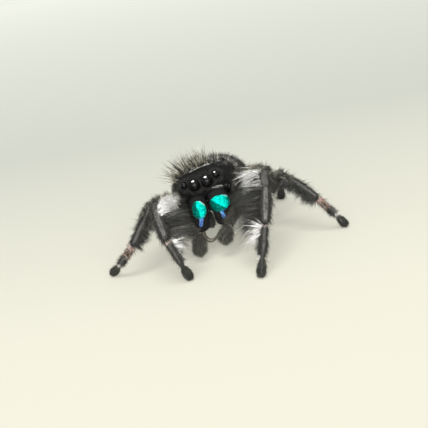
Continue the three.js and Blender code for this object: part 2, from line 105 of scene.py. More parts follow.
JAW = {
    "left": ((2.35, 0.7, 0.35), (2.75, 0.76, -0.2), (2.93, 0.8, -0.85), (2.85, 0.72, -1.5),
             (2.78, 0.66, -2.0)),
    "right": ((2.35, -0.64, 0.35), (2.75, -0.7, -0.2), (2.93, -0.79, -0.85), (2.85, -0.92, -1.5),
              (2.78, -1.02, -2.0)),
}
FANG = {
    "left": ((2.85, 0.62, -1.98), (2.95, 0.5, -2.3), (2.85, 0.22, -2.55), (2.6, -0.02, -2.5)),
    "right": ((2.95, -0.98, -1.98), (3.15, -0.95, -2.35), (3.2, -0.62, -2.68), (3.1, -0.22, -2.6),
              (3.0, 0.02, -2.35)),
}
PALP = {
    "left": ((1.95, 0.95, -0.95), (2.35, 1.55, -1.0), (2.95, 1.75, -1.15), (3.45, 1.35, -1.5),
             (3.6, 0.9, -1.85)),
    "right": ((1.95, -0.95, -0.95), (2.35, -1.6, -0.95), (2.95, -1.95, -1.15), (3.45, -1.7, -1.5),
              (3.6, -1.3, -1.85)),
}
PALP_CLUB = {
    "left": ((3.58, 0.85, -1.9), (3.68, 0.62, -2.3), (3.72, 0.38, -2.75), (3.7, 0.22, -3.0)),
    "right": ((3.58, -1.25, -1.9), (3.7, -1.32, -2.35), (3.76, -1.46, -2.85), (3.74, -1.56, -3.25)),
}
MAXILLA = ((1.75, 0.5, -1.0), (2.05, 0.42, -1.5), (2.25, 0.34, -2.0))
STERNUM = ((1.7, 0, -0.8), (0, 0, -0.82), (-2.1, 0, -0.75))
SIDES = {"left": 1, "right": -1}

# How deep the coat lies over each part: the skin is that far inside the solids.
COAT_DEPTH = dict(carapace=0.1, abdomen=0.1, coxa=0.06, femur=0.11, tibia=0.12, tarsus=0.08, foot=0.09,
                  palp=0.05, palp_club=0.09, sternum=0.05, maxilla=0.03, pedicel=0.03, spinneret=0.03)


# ---------- frames ----------
def unit(v):
    """The same directions, one long."""
    return v / np.maximum(np.linalg.norm(v, axis=-1, keepdims=True), 1e-9)


def body_frame(yaw, pitch, roll):
    """Rows ahead, left and up of a body turned away from straight along -Y."""
    yaw, pitch, roll = np.radians([yaw, pitch, roll])
    ahead = np.array([-np.sin(yaw) * np.cos(pitch), -np.cos(yaw) * np.cos(pitch), np.sin(pitch)])
    level_left = np.array([np.cos(yaw), -np.sin(yaw), 0.0])
    level_up = -np.cross(level_left, ahead)
    left = level_left * np.cos(roll) + level_up * np.sin(roll)
    up = level_up * np.cos(roll) - level_left * np.sin(roll)
    return np.array([ahead, left, up])


UP = np.array([0.0, 0.0, 1.0])
PROSOMA = body_frame(HEAD_YAW, HEAD_PITCH, HEAD_ROLL)
AHEAD, LEFT, HEAD_UP = PROSOMA
CHEST = np.array([0, 0, EYE_LINE_HEIGHT]) - np.array([EYE_FORWARD, 0, EYE_UP]) @ PROSOMA


def head(points):
    """Points given as (ahead, left, up) of the middle of the carapace."""
    return CHEST + np.asarray(points, float) @ PROSOMA


ABDOMEN = body_frame(ABDOMEN_TURN, ABDOMEN_DROOP, ABDOMEN_ROLL)
WAIST = head((-2.8, 0, 0.05))


def belly(points):
    """Points given as (back from the waist, left, up) of the abdomen."""
    return WAIST + (np.asarray(points, float) * (-1, 1, 1)) @ ABDOMEN


def origin_of_the_part():
    """Where the part's origin lies in this layout, from the front left foot and its mount in the record."""
    mount = next(m for m in frame["record"]["mounts"] if m["name"] == "front_left_sole")
    return np.append(STANCE["leg_1_left"]["foot"], 0) - np.array(mount["pos_m"]) / MM


ORIGIN = origin_of_the_part()


# ---------- curves ----------
def through(stops):
    """A smooth curve through (x, value) stops, flat beyond them."""
    x, y = np.array(stops, float).T
    slope = np.empty(len(x))
    slope[1:-1] = (y[2:] - y[:-2]) / (x[2:] - x[:-2])
    slope[0] = (y[1] - y[0]) / (x[1] - x[0])
    slope[-1] = (y[-1] - y[-2]) / (x[-1] - x[-2])

    def value(at):
        at = np.clip(at, x[0], x[-1])
        i = np.clip(np.searchsorted(x, at, side="right") - 1, 0, len(x) - 2)
        h = x[i + 1] - x[i]
        t = (at - x[i]) / h
        start = y[i] * (2 * t**3 - 3 * t**2 + 1) + slope[i] * h * (t**3 - 2 * t**2 + t)
        end = y[i + 1] * (3 * t**2 - 2 * t**3) + slope[i + 1] * h * (t**3 - t**2)
        return start + end

    return value


END_GAP = 0.35  # of a step: how far the first and last rings lie from the ends


def eased(count, start, end):
    """Stations from start to end, closer together near both."""
    share = (1 - np.cos(np.pi * (np.arange(count) + END_GAP) / (count - 1 + 2 * END_GAP))) / 2
    return start + (end - start) * share


def smoothstep(low, high, x):
    """A soft rise from 0 at low to 1 at high."""
    t = np.clip((x - low) / (high - low), 0, 1)
    return t * t * (3 - 2 * t)


class BentLine:
    """A centripetal Catmull-Rom curve through joints, measured along its own length."""

    STEPS = 60  # from one joint to the next
    SPAN = 0.02  # of the length, to each side, over which a direction is taken

    def __init__(self, joints):
        p = np.asarray(joints, float)
        p = np.vstack([2 * p[0] - p[1], p, 2 * p[-1] - p[-2]])
        knots = np.linalg.norm(np.diff(p, axis=0), axis=1) ** 0.5
        w = np.linspace(0, 1, self.STEPS, endpoint=False)[:, None]
        pieces = [self.piece(p[i : i + 4], knots[i : i + 3], w) for i in range(len(p) - 3)]
        self.points = np.vstack([*pieces, p[-2]])
        self.distance = np.append(0, np.cumsum(np.linalg.norm(np.diff(self.points, axis=0), axis=1)))
        self.length = self.distance[-1]

    @staticmethod
    def piece(p, knots, w):
        before, here, after = knots
        start = (p[1] - p[0]) / before - (p[2] - p[0]) / (before + here) + (p[2] - p[1]) / here
        end = (p[2] - p[1]) / here - (p[3] - p[1]) / (here + after) + (p[3] - p[2]) / after
        start, end = start * here, end * here
        return p[1] + w * start + w**2 * (3 * (p[2] - p[1]) - 2 * start - end) + w**3 * (
            2 * (p[1] - p[2]) + start + end
        )

    def at(self, distance):
        return np.stack([np.interp(distance, self.distance, self.points[:, k]) for k in range(3)], axis=-1)

    def along(self, distance):
        step = self.SPAN * self.length
        a = np.clip(distance - step, 0, self.length - 2 * step)
        return unit(self.at(a + 2 * step) - self.at(a))


# ---------- surfaces ----------
class Rows:
    """Arrays with one row for each hair, or for each place where a hair may grow."""

    def __init__(self, **values):
        self.__dict__.update(values)

    def keep(self, mask):
        """The same, with only the rows in the mask."""
        values = vars(self).items()
        return type(self)(**{key: v[mask] if isinstance(v, np.ndarray) else v for key, v in values})


class Surface:
    """A closed tube: rings of points from its start to its end, and a share of the length for each."""

    def __init__(self, name, kind, rings, t, start, end):
        self.name = name
        self.kind = kind
        self.rings = rings
        self.t = t
        self.start = start
        self.end = end
        self.back = UP

    def mesh_data(self):
        """Its vertices and faces, closed by a point at each end."""
        n, m = self.rings.shape[:2]
        points = np.vstack([self.rings.reshape(-1, 3), self.start, self.end])
        around = np.arange(m)
        after = (around + 1) % m
        faces = [(n * m, after[k], around[k]) for k in range(m)]
        for r in range(n - 1):
            a, b = r * m, (r + 1) * m
            faces += [(a + k, a + after[k], b + after[k], b + k) for k in range(m)]
        faces += [(n * m + 1, (n - 1) * m + k, (n - 1) * m + after[k]) for k in range(m)]
        return points, faces

    def sample(self, density):
        """Places spread evenly over the surface, so many to a square millimetre, and the directions there."""
        r = np.concatenate([self.rings, self.rings[:, :1]], axis=1)
        lengthwise = r[1:, :-1] - r[:-1, :-1]
        around = r[:-1, 1:] - r[:-1, :-1]
        normal = np.cross(around, lengthwise)
        area = np.linalg.norm(normal, axis=-1)
        out = np.sum(normal * (r[:-1, :-1] - self.rings.mean(axis=1)[:-1, None]))
        count = int(area.sum() * density)
        cell = rng.choice(area.size, size=count, p=(area / area.sum()).ravel())
        i, k = np.divmod(cell, area.shape[1])
        a, b = rng.random((2, count, 1))
        low = r[i, k] * (1 - b) + r[i, k + 1] * b
        high = r[i + 1, k] * (1 - b) + r[i + 1, k + 1] * b
        outward = unit(normal[i, k]) * math.copysign(1, out)
        along = unit(high - low)
        return Rows(
            part=self,
            p=low * (1 - a) + high * a,
            normal=outward,
            along=along,
            t=self.t[i] * (1 - a[:, 0]) + self.t[i + 1] * a[:, 0],
            angle=(k + b[:, 0]) / area.shape[1],
            row=(i + a[:, 0]) / (len(self.rings) - 1),
            back=self.backness(outward, along),
        )

    def backness(self, normal, along):
        """1 where a limb's surface faces the outside of its bend, -1 on its underside."""
        back = unit(self.back - along * (along @ self.back)[:, None])
        return np.sum(normal * back, axis=1)


def tube(name, kind, joints, stops, grow=0.0, sides=24, rings=40, wide=None, cushion=0.5):
    """A limb along a bent line. Each stop is (share of the length, half width, half height)."""
    line = BentLine(joints)
    half_width = through([(s[0], s[1]) for s in stops])
    half_height = through([(s[0], s[-1]) for s in stops])
    reach = [stops[0][1] * cushion + grow, stops[-1][1] * cushion + grow]
    side = np.cross(UP, line.along(0.0)) if wide is None else wide
    distances = eased(rings, -grow, line.length + grow)
    angles = 2 * np.pi * np.arange(sides) / sides
    circles = []
    for distance in distances:
        t = np.clip(distance / line.length, 0, 1)
        along = line.along(t * line.length)
        centre = line.at(t * line.length) + along * (distance - t * line.length)
        inward = [(distance + grow) / reach[0], (line.length + grow - distance) / reach[1]]
        rounding = np.prod([np.sqrt(max(0, 1 - (1 - min(d, 1)) ** 2)) for d in inward])
        side = unit(side - along * (side @ along))
        a = (half_width(t) + grow) * rounding * np.cos(angles)
        b = (half_height(t) + grow) * rounding * np.sin(angles)
        circles.append(centre + np.outer(a, side) + np.outer(b, np.cross(along, side)))
    start = line.at(0.0) - line.along(0.0) * grow
    end = line.at(line.length) + line.along(line.length) * grow
    return Surface(name, kind, np.array(circles), np.clip(distances / line.length, 0, 1), start, end)


def half_circle(radius, count, swell=0.0):
    """A ball's profile from pole to pole as (along the axis, radius), swollen a little at its front."""
    angles = np.linspace(-np.pi / 2, np.pi / 2, count)
    bulge = 1 + swell * np.sin(angles) ** 3
    return [(radius * math.sin(w) * b, radius * math.cos(w)) for w, b in zip(angles, bulge)]


def turned(name, kind, centre, axis, profile, sides):
    """A closed body turned round an axis. Profile points are (along the axis, radius)."""
    across = unit(np.cross(axis, UP))
    third = np.cross(axis, across)
    angles = 2 * np.pi * np.arange(sides) / sides
    circle = np.outer(np.cos(angles), across) + np.outer(np.sin(angles), third)
    rings = np.array([centre + along * axis + radius * circle for along, radius in profile[1:-1]])
    ends = [centre + along * axis for along, _ in (profile[0], profile[-1])]
    t = np.arange(1, len(profile) - 1) / (len(profile) - 1)
    return Surface(name, kind, rings, t, *ends)


def ball(name, kind, centre, radius):
    return turned(name, kind, centre, AHEAD, half_circle(radius, 13), sides=20)


# ---------- carapace ----------
shell_half_width = through([
    (-2.85, 0.9), (-2.3, 1.45), (-1.6, 1.95), (-0.9, 2.25), (-0.3, 2.33),
    (0.4, 2.28), (1.2, 2.08), (1.9, 1.86), (2.4, 1.68), (2.65, 1.55),
])
shell_top = through([
    (-2.85, 0.3), (-2.4, 0.75), (-1.8, 1.25), (-1.1, 1.72), (-0.4, 2.03),
    (0.4, 2.15), (1.2, 2.12), (1.9, 1.98), (2.4, 1.78), (2.65, 1.6),
])
shell_bottom = through([
    (-2.85, -0.1), (-2.2, -0.35), (-1.2, -0.45), (1.3, -0.45), (1.8, -0.2), (2.2, 0.12), (2.65, 0.38),
])
# How far the shell's back and front ends are rounded off, and how squarely.
SHELL_BACK_ROUND = 0.35
SHELL_FRONT_ROUND = 0.3
SHELL_ROUNDING = 2.4


def shell_middle(f):
    return (shell_bottom(f) + shell_top(f)) / 2


def boxy(w):
    return np.sign(w) * np.abs(w) ** (2 / SHELL_BOXINESS)


def shell_point(f, angle, grow=0.0):
    """A point of the carapace at a forward station and an angle from its left side up over its top."""
    low = shell_bottom(f) - grow
    high = shell_top(f) + grow
    widest = low + SHELL_WAIST * (high - low)
    rise = boxy(np.sin(angle))
    up = widest + rise * np.where(rise > 0, high - widest, widest - low)
    left = (shell_half_width(f) + grow) * boxy(np.cos(angle))
    return np.stack([np.broadcast_to(f, left.shape), left, up], axis=-1)


def carapace(grow, sides=96, rings=80):
    angles = 2 * np.pi * (np.arange(sides) + 0.5) / sides
    circles = []
    stations = eased(rings, SHELL_BACK - grow, SHELL_FRONT + grow)
    for f in stations:
        inward = [(f - SHELL_BACK + grow) / SHELL_BACK_ROUND, (SHELL_FRONT + grow - f) / SHELL_FRONT_ROUND]
        shrink = np.prod([(1 - (1 - min(d, 1)) ** SHELL_ROUNDING) ** (1 / SHELL_ROUNDING) for d in inward])
        points = shell_point(f, angles, grow)
        points[:, 1] *= shrink
        points[:, 2] = shell_middle(f) + (points[:, 2] - shell_middle(f)) * shrink
        circles.append(head(points))
    ends = [head((f, 0, shell_middle(f))) for f in (SHELL_BACK - grow, SHELL_FRONT + grow)]
    t = np.clip((stations - SHELL_BACK) / (SHELL_FRONT - SHELL_BACK), 0, 1)
    return Surface("carapace", "carapace", np.array(circles), t, *ends)


# ---------- abdomen ----------
abdomen_size = through([
    (0, 0.34), (0.04, 0.6), (0.12, 0.84), (0.25, 0.97), (0.4, 1),
    (0.58, 0.95), (0.75, 0.8), (0.88, 0.57), (0.96, 0.34), (1, 0.16),
])
abdomen_lift = through([(0, 0.3), (0.12, 0.28), (0.3, 0.2), (0.5, 0.08), (0.8, -0.12), (1, -0.35)])


SPINNERETS = {
    "upper": dict(radius=0.15, start=-0.5, end=0.35, drop=-0.22),
    "lower": dict(radius=0.18, start=-0.6, end=0.25, drop=-0.58),
}
SPINNERET_ASIDE = 0.19


def abdomen(grow, sides=72, rings=72):
    angles = 2 * np.pi * np.arange(sides) / sides
    shares = eased(rings, 0, 1)
    circles = []
    for s in shares:
        back = ABDOMEN_START - grow + s * (ABDOMEN_LENGTH + 2 * grow)
        a = (ABDOMEN_WIDTH / 2 * abdomen_size(s) + grow) * np.cos(angles)
        b = (ABDOMEN_HEIGHT / 2 * abdomen_size(s) + grow) * np.sin(angles)
        circles.append(belly(np.stack([np.full(sides, back), a, abdomen_lift(s) + b], axis=-1)))
    ends = [belly((back, 0, abdomen_lift(s))) for back, s in
            ((ABDOMEN_START - grow, 0), (ABDOMEN_START + ABDOMEN_LENGTH + grow, 1))]
    return Surface("abdomen", "abdomen", np.array(circles), shares, *ends)


def spinneret(side, row):
    """One of the four spinnerets. Its start and end are measured from the abdomen's tail."""
    tail = ABDOMEN_START + ABDOMEN_LENGTH
    out = SPINNERET_ASIDE * SIDES[side]
    size = SPINNERETS[row]
    radius, drop = size["radius"], size["drop"]
    line = belly([(tail + size["start"], out, drop), (tail + size["end"], out, drop - 0.05)])
    return inset_tube(f"spinneret_{row}_{side}", "spinneret", line,
                      [(0, radius), (0.7, radius * 0.94), (1, radius * 0.67)], rings=16)


# ---------- legs ----------
# The largest curl that is tried, in radians, and how often the range of curls is halved.
MOST_CURL = 4.5
HALVINGS = 50
# How far each limb runs on into the next, and how far upwards the backs of the other pairs face.
OVERLAP = dict(coxa=0.2, femur=0.12, tibia=0.06, tarsus=0.1)
BACK_UPWARDS = 0.7


def lower_leg(knee, foot, lengths, bend, lean):
    """The joints from knee to foot: a chain in one plane that curls evenly until it just reaches."""
    reach = foot - knee

    def lay(curl):
        angles = -curl * np.append(0, np.cumsum(bend))
        steps = np.stack([np.cos(angles), np.sin(angles)], axis=-1) * np.array(lengths)[:, None]
        return np.vstack([(0, 0), np.cumsum(steps, axis=0)])

    straight, curled = 0.0, MOST_CURL
    for _ in range(HALVINGS):
        middle = (straight + curled) / 2
        if np.linalg.norm(lay(middle)[-1]) > np.linalg.norm(reach):
            straight = middle
        else:
            curled = middle
    chain = lay(straight)
    end = unit(chain[-1])
    normal = np.array([-end[1], end[0]])
    along = unit(reach)
    across = unit(np.cross(along, UP))
    rise = np.cross(across, along)
    out = rise * math.cos(lean) + across * math.sin(lean)
    return knee + np.outer(chain @ end, along) + np.outer(chain @ normal, out), out


def beyond(a, b, distance):
    return b + unit(b - a) * distance


def leg_joints(name):
    """Hip, trochanter, knee, patella end, ankle, metatarsus end and foot, and where the leg's back faces."""
    _, pair, side = name.split("_")
    size, stance = PAIRS[int(pair)], STANCE[name]
    root, joint = (head(np.multiply(size[key], (1, SIDES[side], 1))) for key in ("hip", "trochanter"))
    knee = np.array(stance["knee"])
    foot = np.append(stance["foot"], FOOT_CENTRE)
    below, back = lower_leg(knee, foot, size["lengths"], stance["bend"], math.radians(stance["lean"]))
    return root, joint, knee, *below[1:4], foot, back


def halved(a, b, distance):
    """A line from a through the middle to a little beyond b."""
    return [a, (a + b) / 2, beyond(a, b, distance)]


def times(size, stops):
    """Stops whose half widths and heights are given in shares of a size."""
    return [(at, *(size * share for share in shares)) for at, *shares in stops]


def leg_surfaces(name):
    size = PAIRS[int(name.split("_")[1])]
    root, joint, knee, patella_end, ankle, metatarsus_end, foot, back = leg_joints(name)
    femur_line = halved(joint, knee, OVERLAP["femur"])
    femur_line[1] = femur_line[1] + UP * size["arch"]
    lines = dict(
        coxa=halved(root, joint, OVERLAP["coxa"]),
        femur=femur_line,
        tibia=[knee, (knee + patella_end) / 2, *halved(patella_end, ankle, OVERLAP["tibia"])],
        tarsus=[ankle, (ankle + metatarsus_end) / 2, metatarsus_end, foot,
                beyond(metatarsus_end, foot, OVERLAP["tarsus"])],
    )
    stops = dict(
        coxa=[(0, 0.4), (0.4, 0.46), (0.75, 0.44), (1, 0.4)],
        femur=times(size["femur"], [(0, 0.72, 0.72), (0.2, 0.92, 0.92), (0.45, 1, 1.2), (0.8, 0.9, 0.9),
                                    (1, 0.72, 0.72)]),
        tibia=times(size["patella"], [(0, 0.85), (0.2, 1), (0.4, 0.92)])
        + times(size["tibia"], [(0.6, 1), (0.85, 0.92), (1, 0.7)]),
        tarsus=times(size["metatarsus"], [(0, 1), (0.35, 0.95), (0.56, 0.85), (0.66, 0.7), (0.84, 1.08),
                                          (1, 1.05)]),
    )
    rings = dict(coxa=16, femur=44, tibia=56, tarsus=44)
    surfaces = [
        inset_tube(f"{name}_{kind}", kind, line, stops[kind], rings=rings[kind], cushion=0.8)
        for kind, line in lines.items()
    ]
    surfaces.append(ball(f"{name}_foot", "foot", foot, FOOT_RADIUS - COAT_DEPTH["foot"]))
    for surface in surfaces[2:]:
        surface.back = back if name.startswith("leg_1") else unit(back + BACK_UPWARDS * UP)
    return surfaces


# ---------- all the flesh ----------
STERNUM_STOPS = [(0, 0.45, 0.3), (0.3, 0.62, 0.34), (0.7, 0.6, 0.34), (1, 0.35, 0.25)]
PEDICEL_STOPS = [(0, 0.3), (0.5, 0.27), (1, 0.3)]
MAXILLA_STOPS = [(0, 0.36, 0.25), (0.5, 0.4, 0.25), (1, 0.28, 0.2)]
PALP_STOPS = [(0, 0.27), (0.3, 0.29), (0.7, 0.29), (1, 0.27)]
PALP_CLUB_STOPS = [(0, 0.32), (0.4, 0.43), (0.75, 0.44), (1, 0.32)]


def inset_tube(name, kind, joints, stops, **settings):
    """A limb as far inside its solid as its coat is deep."""
    return tube(name, kind, joints, stops, -COAT_DEPTH[kind], **settings)


def flesh():
    """Every part of the body that has skin."""
    waist_line = [head((-2.6, 0, 0.05)), head((-2.8, 0, 0.1)), belly((0.7, 0, 0.1))]
    parts = [
        carapace(-COAT_DEPTH["carapace"]),
        abdomen(-COAT_DEPTH["abdomen"]),
        inset_tube("sternum", "sternum", head(STERNUM), STERNUM_STOPS, wide=LEFT),
        inset_tube("pedicel", "pedicel", waist_line, PEDICEL_STOPS),
    ]
    for side, sign in SIDES.items():
        maxilla = head(np.multiply(MAXILLA, (1, sign, 1)))
        parts += [
            *(spinneret(side, row) for row in SPINNERETS),
            inset_tube(f"maxilla_{side}", "maxilla", maxilla, MAXILLA_STOPS, wide=LEFT),
            inset_tube(f"palp_{side}", "palp", head(PALP[side]), PALP_STOPS, wide=HEAD_UP),
            inset_tube(f"palp_club_{side}", "palp_club", head(PALP_CLUB[side]), PALP_CLUB_STOPS, wide=LEFT,
                       cushion=0.9),
        ]
    for name in STANCE:
        parts += leg_surfaces(name)
    return {part.name: part for part in parts}


FLESH = flesh()


# ---------- meshes ----------
def to_part(points):
    """From this layout in millimetres to the part's own frame in metres."""
    return (np.asarray(points) - ORIGIN) * MM


def add_object(name, mesh, material=None):
    piece = bpy.data.objects.new(name, mesh)
    bpy.context.scene.collection.objects.link(piece)
    if material:
        mesh.materials.append(material)
    return piece


def smooth(mesh):
    mesh.polygons.foreach_set("use_smooth", [True] * len(mesh.polygons))


def closed_mesh(name, points, faces):
    """A mesh shaded smooth, with all its faces turned outwards."""
    mesh = bpy.data.meshes.new(name)
    mesh.from_pydata([tuple(p) for p in points], [], [tuple(int(i) for i in f) for f in faces])
    mesh.update()
    smooth(mesh)
    work = bmesh.new()
    work.from_mesh(mesh)
    bmesh.ops.recalc_face_normals(work, faces=work.faces)
    work.to_mesh(mesh)
    work.free()
    return mesh


def joined(surfaces):
    """The points and faces of several surfaces as one mesh."""
    points, faces, first = [], [], 0
    for surface in surfaces:
        own_points, own_faces = surface.mesh_data()
        points.append(own_points)
        faces += [[first + i for i in face] for face in own_faces]
        first += len(own_points)
    return np.vstack(points), faces


def vertex_vectors(mesh, key):
    """A vector of every vertex, such as its place or its normal."""
    values = np.empty(len(mesh.vertices) * 3, np.float32)
    mesh.vertices.foreach_get(key, values)
    return values.reshape(-1, 3)


# ---------- eyes' places ----------
EYE_RADII = {"front_middle_eye": 0.41, "front_side_eye": 0.26, "small_eye": 0.13, "rear_eye": 0.23}
# The front eyes' places as (ahead, left, up), and where the others sit on the shell: how far ahead, at how
# many degrees above its side, and how deep.
FRONT_EYES = {"front_middle_eye": (2.62, 0.44, 1.16), "front_side_eye": (2.5, 1.13, 1.36)}
FRONT_LOOK = (1.0, 0.12, 0.0)
SHELL_LOOK = (0.25, 0.75, 0.75)
SOCKET_INWARDS = 0.65
SOCKET_DOWN = 0.6
SHELL_EYES = {"small_eye": (1.25, 50, 0.03), "rear_eye": (0.3, 48, 0.07)}


def eye_place(kind, side):
    if kind in FRONT_EYES:
        return np.multiply(FRONT_EYES[kind], (1, SIDES[side], 1))
    station, degrees, depth = SHELL_EYES[kind]
    angle = math.radians(degrees if side == "left" else 180 - degrees)
    ahead, left, up = shell_point(station, np.array(angle))
    return np.array([ahead, left * (1 - SOCKET_INWARDS * depth), up - SOCKET_DOWN * depth])


def eye_of(kind, side):
    """An eye's middle, its radius and where it looks."""
    look = np.multiply(FRONT_LOOK if kind in FRONT_EYES else SHELL_LOOK, (1, SIDES[side], 1))
    return dict(centre=head(eye_place(kind, side)), radius=EYE_RADII[kind], look=unit(look @ PROSOMA))


EYES = {f"{kind}_{side}": eye_of(kind, side) for kind in EYE_RADII for side in SIDES}


# ---------- skin ----------
JAW_STOPS = ((0, 0.5, 0.4), (0.25, 0.63, 0.55), (0.5, 0.63, 0.58), (0.75, 0.56, 0.52), (1, 0.46, 0.42))
JAW_GROWTH = {"left": 0.05, "right": 0.0}
JAWS = {
    side: tube(f"jaw_{side}", "jaw", head(JAW[side]), JAW_STOPS, growth, sides=72, rings=90, wide=LEFT,
               cushion=0.7)
    for side, growth in JAW_GROWTH.items()
}
VOXEL = 0.055
RELAX_TIMES = 4
RELAX_SHARE = 0.5
SKIN_FLOOR = 0.015
# The skin's rim round each eye: how wide it is, and how far behind the eye's middle.
RIM_WIDTH = 0.045
RIM_DEPTH = 0.13


def build_skin():
    """One closed skin over the whole body, smoothed where the parts run into each other."""
    rims = [
        ball(f"rim_{name}", "rim", eye["centre"] - RIM_DEPTH * eye["look"], eye["radius"] + RIM_WIDTH)
        for name, eye in EYES.items()
    ]
    start = add_object("skin_start", closed_mesh("skin_start", *joined([*FLESH.values(), *rims])))
    remesh = start.modifiers.new("remesh", "REMESH")
    remesh.mode = "VOXEL"
    remesh.voxel_size = VOXEL
    relax = start.modifiers.new("relax", "SMOOTH")
    relax.iterations = RELAX_TIMES
    relax.factor = RELAX_SHARE
    graph = bpy.context.evaluated_depsgraph_get()
    graph.update()
    skin = bpy.data.meshes.new_from_object(start.evaluated_get(graph))
    skin.name = "skin"
    bpy.data.objects.remove(start)
    return skin


# ---------- markings, shared by skin and coat ----------
JET = np.array([0.011, 0.011, 0.0105])
BLACK = np.array([0.066, 0.065, 0.059])
# The grey of the stripe along the legs' backs: partly bare cuticle, partly painted sheen.
STRIPE = np.array([0.108, 0.106, 0.099])
SOLE = np.array([0.085, 0.086, 0.072])
OLIVE = np.array([0.20, 0.19, 0.14])
STRAW = np.array([0.52, 0.50, 0.40])
SILVER = np.array([0.66, 0.65, 0.60])
WHITE = np.array([0.94, 0.92, 0.87])
CREAM = np.array([0.80, 0.70, 0.60])
COPPER = np.array([0.46, 0.22, 0.15])
ROSE = np.array([0.66, 0.46, 0.40])

FACE_MIDDLE = head((3.2, 0, -0.6))
# The white brush of each front knee: the shares of the thigh's length where it starts and of the shin's where
# it ends, how much it faces ahead rather than to the face, how squarely its edge still faces that way, how
# far up the limb's side it reaches, its hairs' length and how far the upper ones hang.
BRUSHES = {
    "leg_1_left": dict(start=0.76, end=0.45, ahead=0.45, edge=0.36, top=0.8, length=(0.7, 1.5), hang=0.15),
    "leg_1_right": dict(start=0.72, end=0.55, ahead=1.0, edge=0.08, top=1.4, length=(0.4, 1.0), hang=0.5),
}


def mix(a, b, share):
    share = np.asarray(share)[..., None]
    return a * (1 - share) + b * share


def ring(t, middle, half, soft=0.03):
    """1 inside a ring round a limb, 0 away from it."""
    return 1 - smoothstep(half - soft, half + soft, np.abs(t - middle))


# The abdomen's pairs of white spots: how far back and how far out each lies, and its radius.
SPOTS = ((0.34, 0.75, 0.2), (0.65, 0.68, 0.25), (0.78, 0.5, 0.16))


def mottling(x, y):
    """Soft irregular patches from 0 to 1, about half a millimetre apart, over places in tenths of one."""
    waves = np.sin(1.3 * x + 1.5 * np.sin(1.1 * y)) + np.sin(1.7 * y + 1.2 * np.sin(0.9 * x))
    return smoothstep(-0.3, 0.4, waves)


def abdomen_colour(p):
    """Black, with a mottled white front band, a white middle spot and three pairs of smaller ones."""
    local = (p - WAIST) @ ABDOMEN.T
    s, wide, up = (-local[:, 0] - ABDOMEN_START) / ABDOMEN_LENGTH, np.abs(local[:, 1]), local[:, 2]
    top = smoothstep(0.0, 0.5, up)
    edge = 0.2 + 0.1 * smoothstep(0.2, 1.6, wide)
    mottled = 0.15 + 0.85 * mottling(*(10 * local[:, :2]).T)
    band = (1 - smoothstep(edge - 0.03, edge + 0.03, s)) * smoothstep(-0.4, 0.3, up) * mottled
    wedge = wide - 0.62 * smoothstep(0.36, 0.54, s)
    pale = [band, top * (1 - smoothstep(0.0, 0.08, wedge)) * ring(s, 0.47, 0.075, 0.012)]
    for place, out, size in SPOTS:
        apart = np.hypot(wide - out, (s - place) * ABDOMEN_LENGTH)
        pale.append(0.9 * top * (1 - smoothstep(size - 0.05, size + 0.05, apart)))
    return mix(np.broadcast_to(BLACK, p.shape), WHITE, np.maximum.reduce(pale))


def bare_and_sheen(part, t, back):
    """1 on the stripe along a limb's back, which is widest on the first pair's patella: it is bare of most
    fur, and its grey is partly bare cuticle and partly painted sheen.
    """
    if part.name.startswith("leg_1"):
        narrower = dict(tibia=0.05, tarsus=0.06).get(part.kind, 0)
        wider = 0.22 * (part.kind == "tibia") * smoothstep(0.4, 0.38, t) - narrower
        return smoothstep(0.83, 0.96, back + wider)
    return smoothstep(0.9, 0.98, back)


def toward_face(points):
    """Mostly level directions from points to the middle of the face."""
    return unit((FACE_MIDDLE - points) * (1, 1, 0.35))


def leg_of(part):
    """The name of the leg that a part belongs to."""
    return part.name.rsplit("_", 1)[0]


def brush(part, t, p):
    """The white brush on the side of a front knee that faces forwards and to the face."""
    size = BRUSHES.get(leg_of(part))
    if not size or part.kind not in ("femur", "tibia"):
        return np.zeros(len(t))
    centres = part.rings.mean(axis=1)
    centre = np.stack([np.interp(t, part.t, centres[:, k]) for k in range(3)], axis=-1)
    outward = unit(p - centre)
    ahead = unit(toward_face(p) + size["ahead"] * AHEAD * (1, 1, 0))
    inner = smoothstep(size["edge"], size["edge"] + 0.35, np.sum(outward * ahead, axis=1))
    low = smoothstep(-0.85, -0.6, outward[:, 2])
    high = smoothstep(size["top"], size["top"] - 0.3, outward[:, 2])
    past_edge = t - size["start"] if part.kind == "femur" else size["end"] - t
    return inner * low * high * smoothstep(-0.03, 0.07, past_edge)


def leg_colour(part, t, p, back):
    """Black, with a grey stripe along the back that is partly bare cuticle and partly painted sheen, and
    white or copper rings below the ankle.
    """
    colour = mix(np.broadcast_to(BLACK, (len(t), 3)), WHITE, brush(part, t, p))
    if part.kind == "femur":
        return mix(colour, STRAW, 0.3 * smoothstep(0.75, 0.95, back) * ring(t, 0.6, 0.4, 0.1))
    # The grey stripe along the back is partly painted sheen.
    stripe = bare_and_sheen(part, t, back)
    if part.kind == "tibia":
        border = 4 * stripe * (1 - stripe) * smoothstep(0.4, 0.44, t)
        colour = mix(colour, STRIPE, stripe * (1 - ring(t, 0.41, 0.02, 0.01)))
        return mix(colour, SILVER, 0.18 * border * part.name.startswith("leg_1"))
    colour = mix(colour, STRIPE, stripe * (1 - smoothstep(0.5, 0.6, t)))
    if part.name.startswith("leg_1"):
        colour = mix(colour, ROSE, 0.25 * ring(t, 0.0, 0.05))
        return mix(colour, WHITE, 0.7 * ring(t, 0.63, 0.025) * smoothstep(0.3, -0.3, back))
    colour = mix(colour, COPPER, ring(t, 0.14, 0.17, 0.08) * 0.35)
    colour = mix(colour, ROSE, ring(t, 0.04, 0.05, 0.03) * 0.7)
    return mix(colour, WHITE, 0.85 * ring(t, 0.615, 0.03))


def markings(part, t, p, back):
    """The colour of skin and hair at places on a part."""
    plain = dict(foot=SOLE, carapace=JET)
    if part.kind in plain:
        return np.broadcast_to(plain[part.kind], p.shape)
    if part.kind == "abdomen":
        return abdomen_colour(p)
    if part.kind in ("femur", "tibia", "tarsus"):
        return leg_colour(part, t, p, back)
    return np.broadcast_to(BLACK, p.shape)


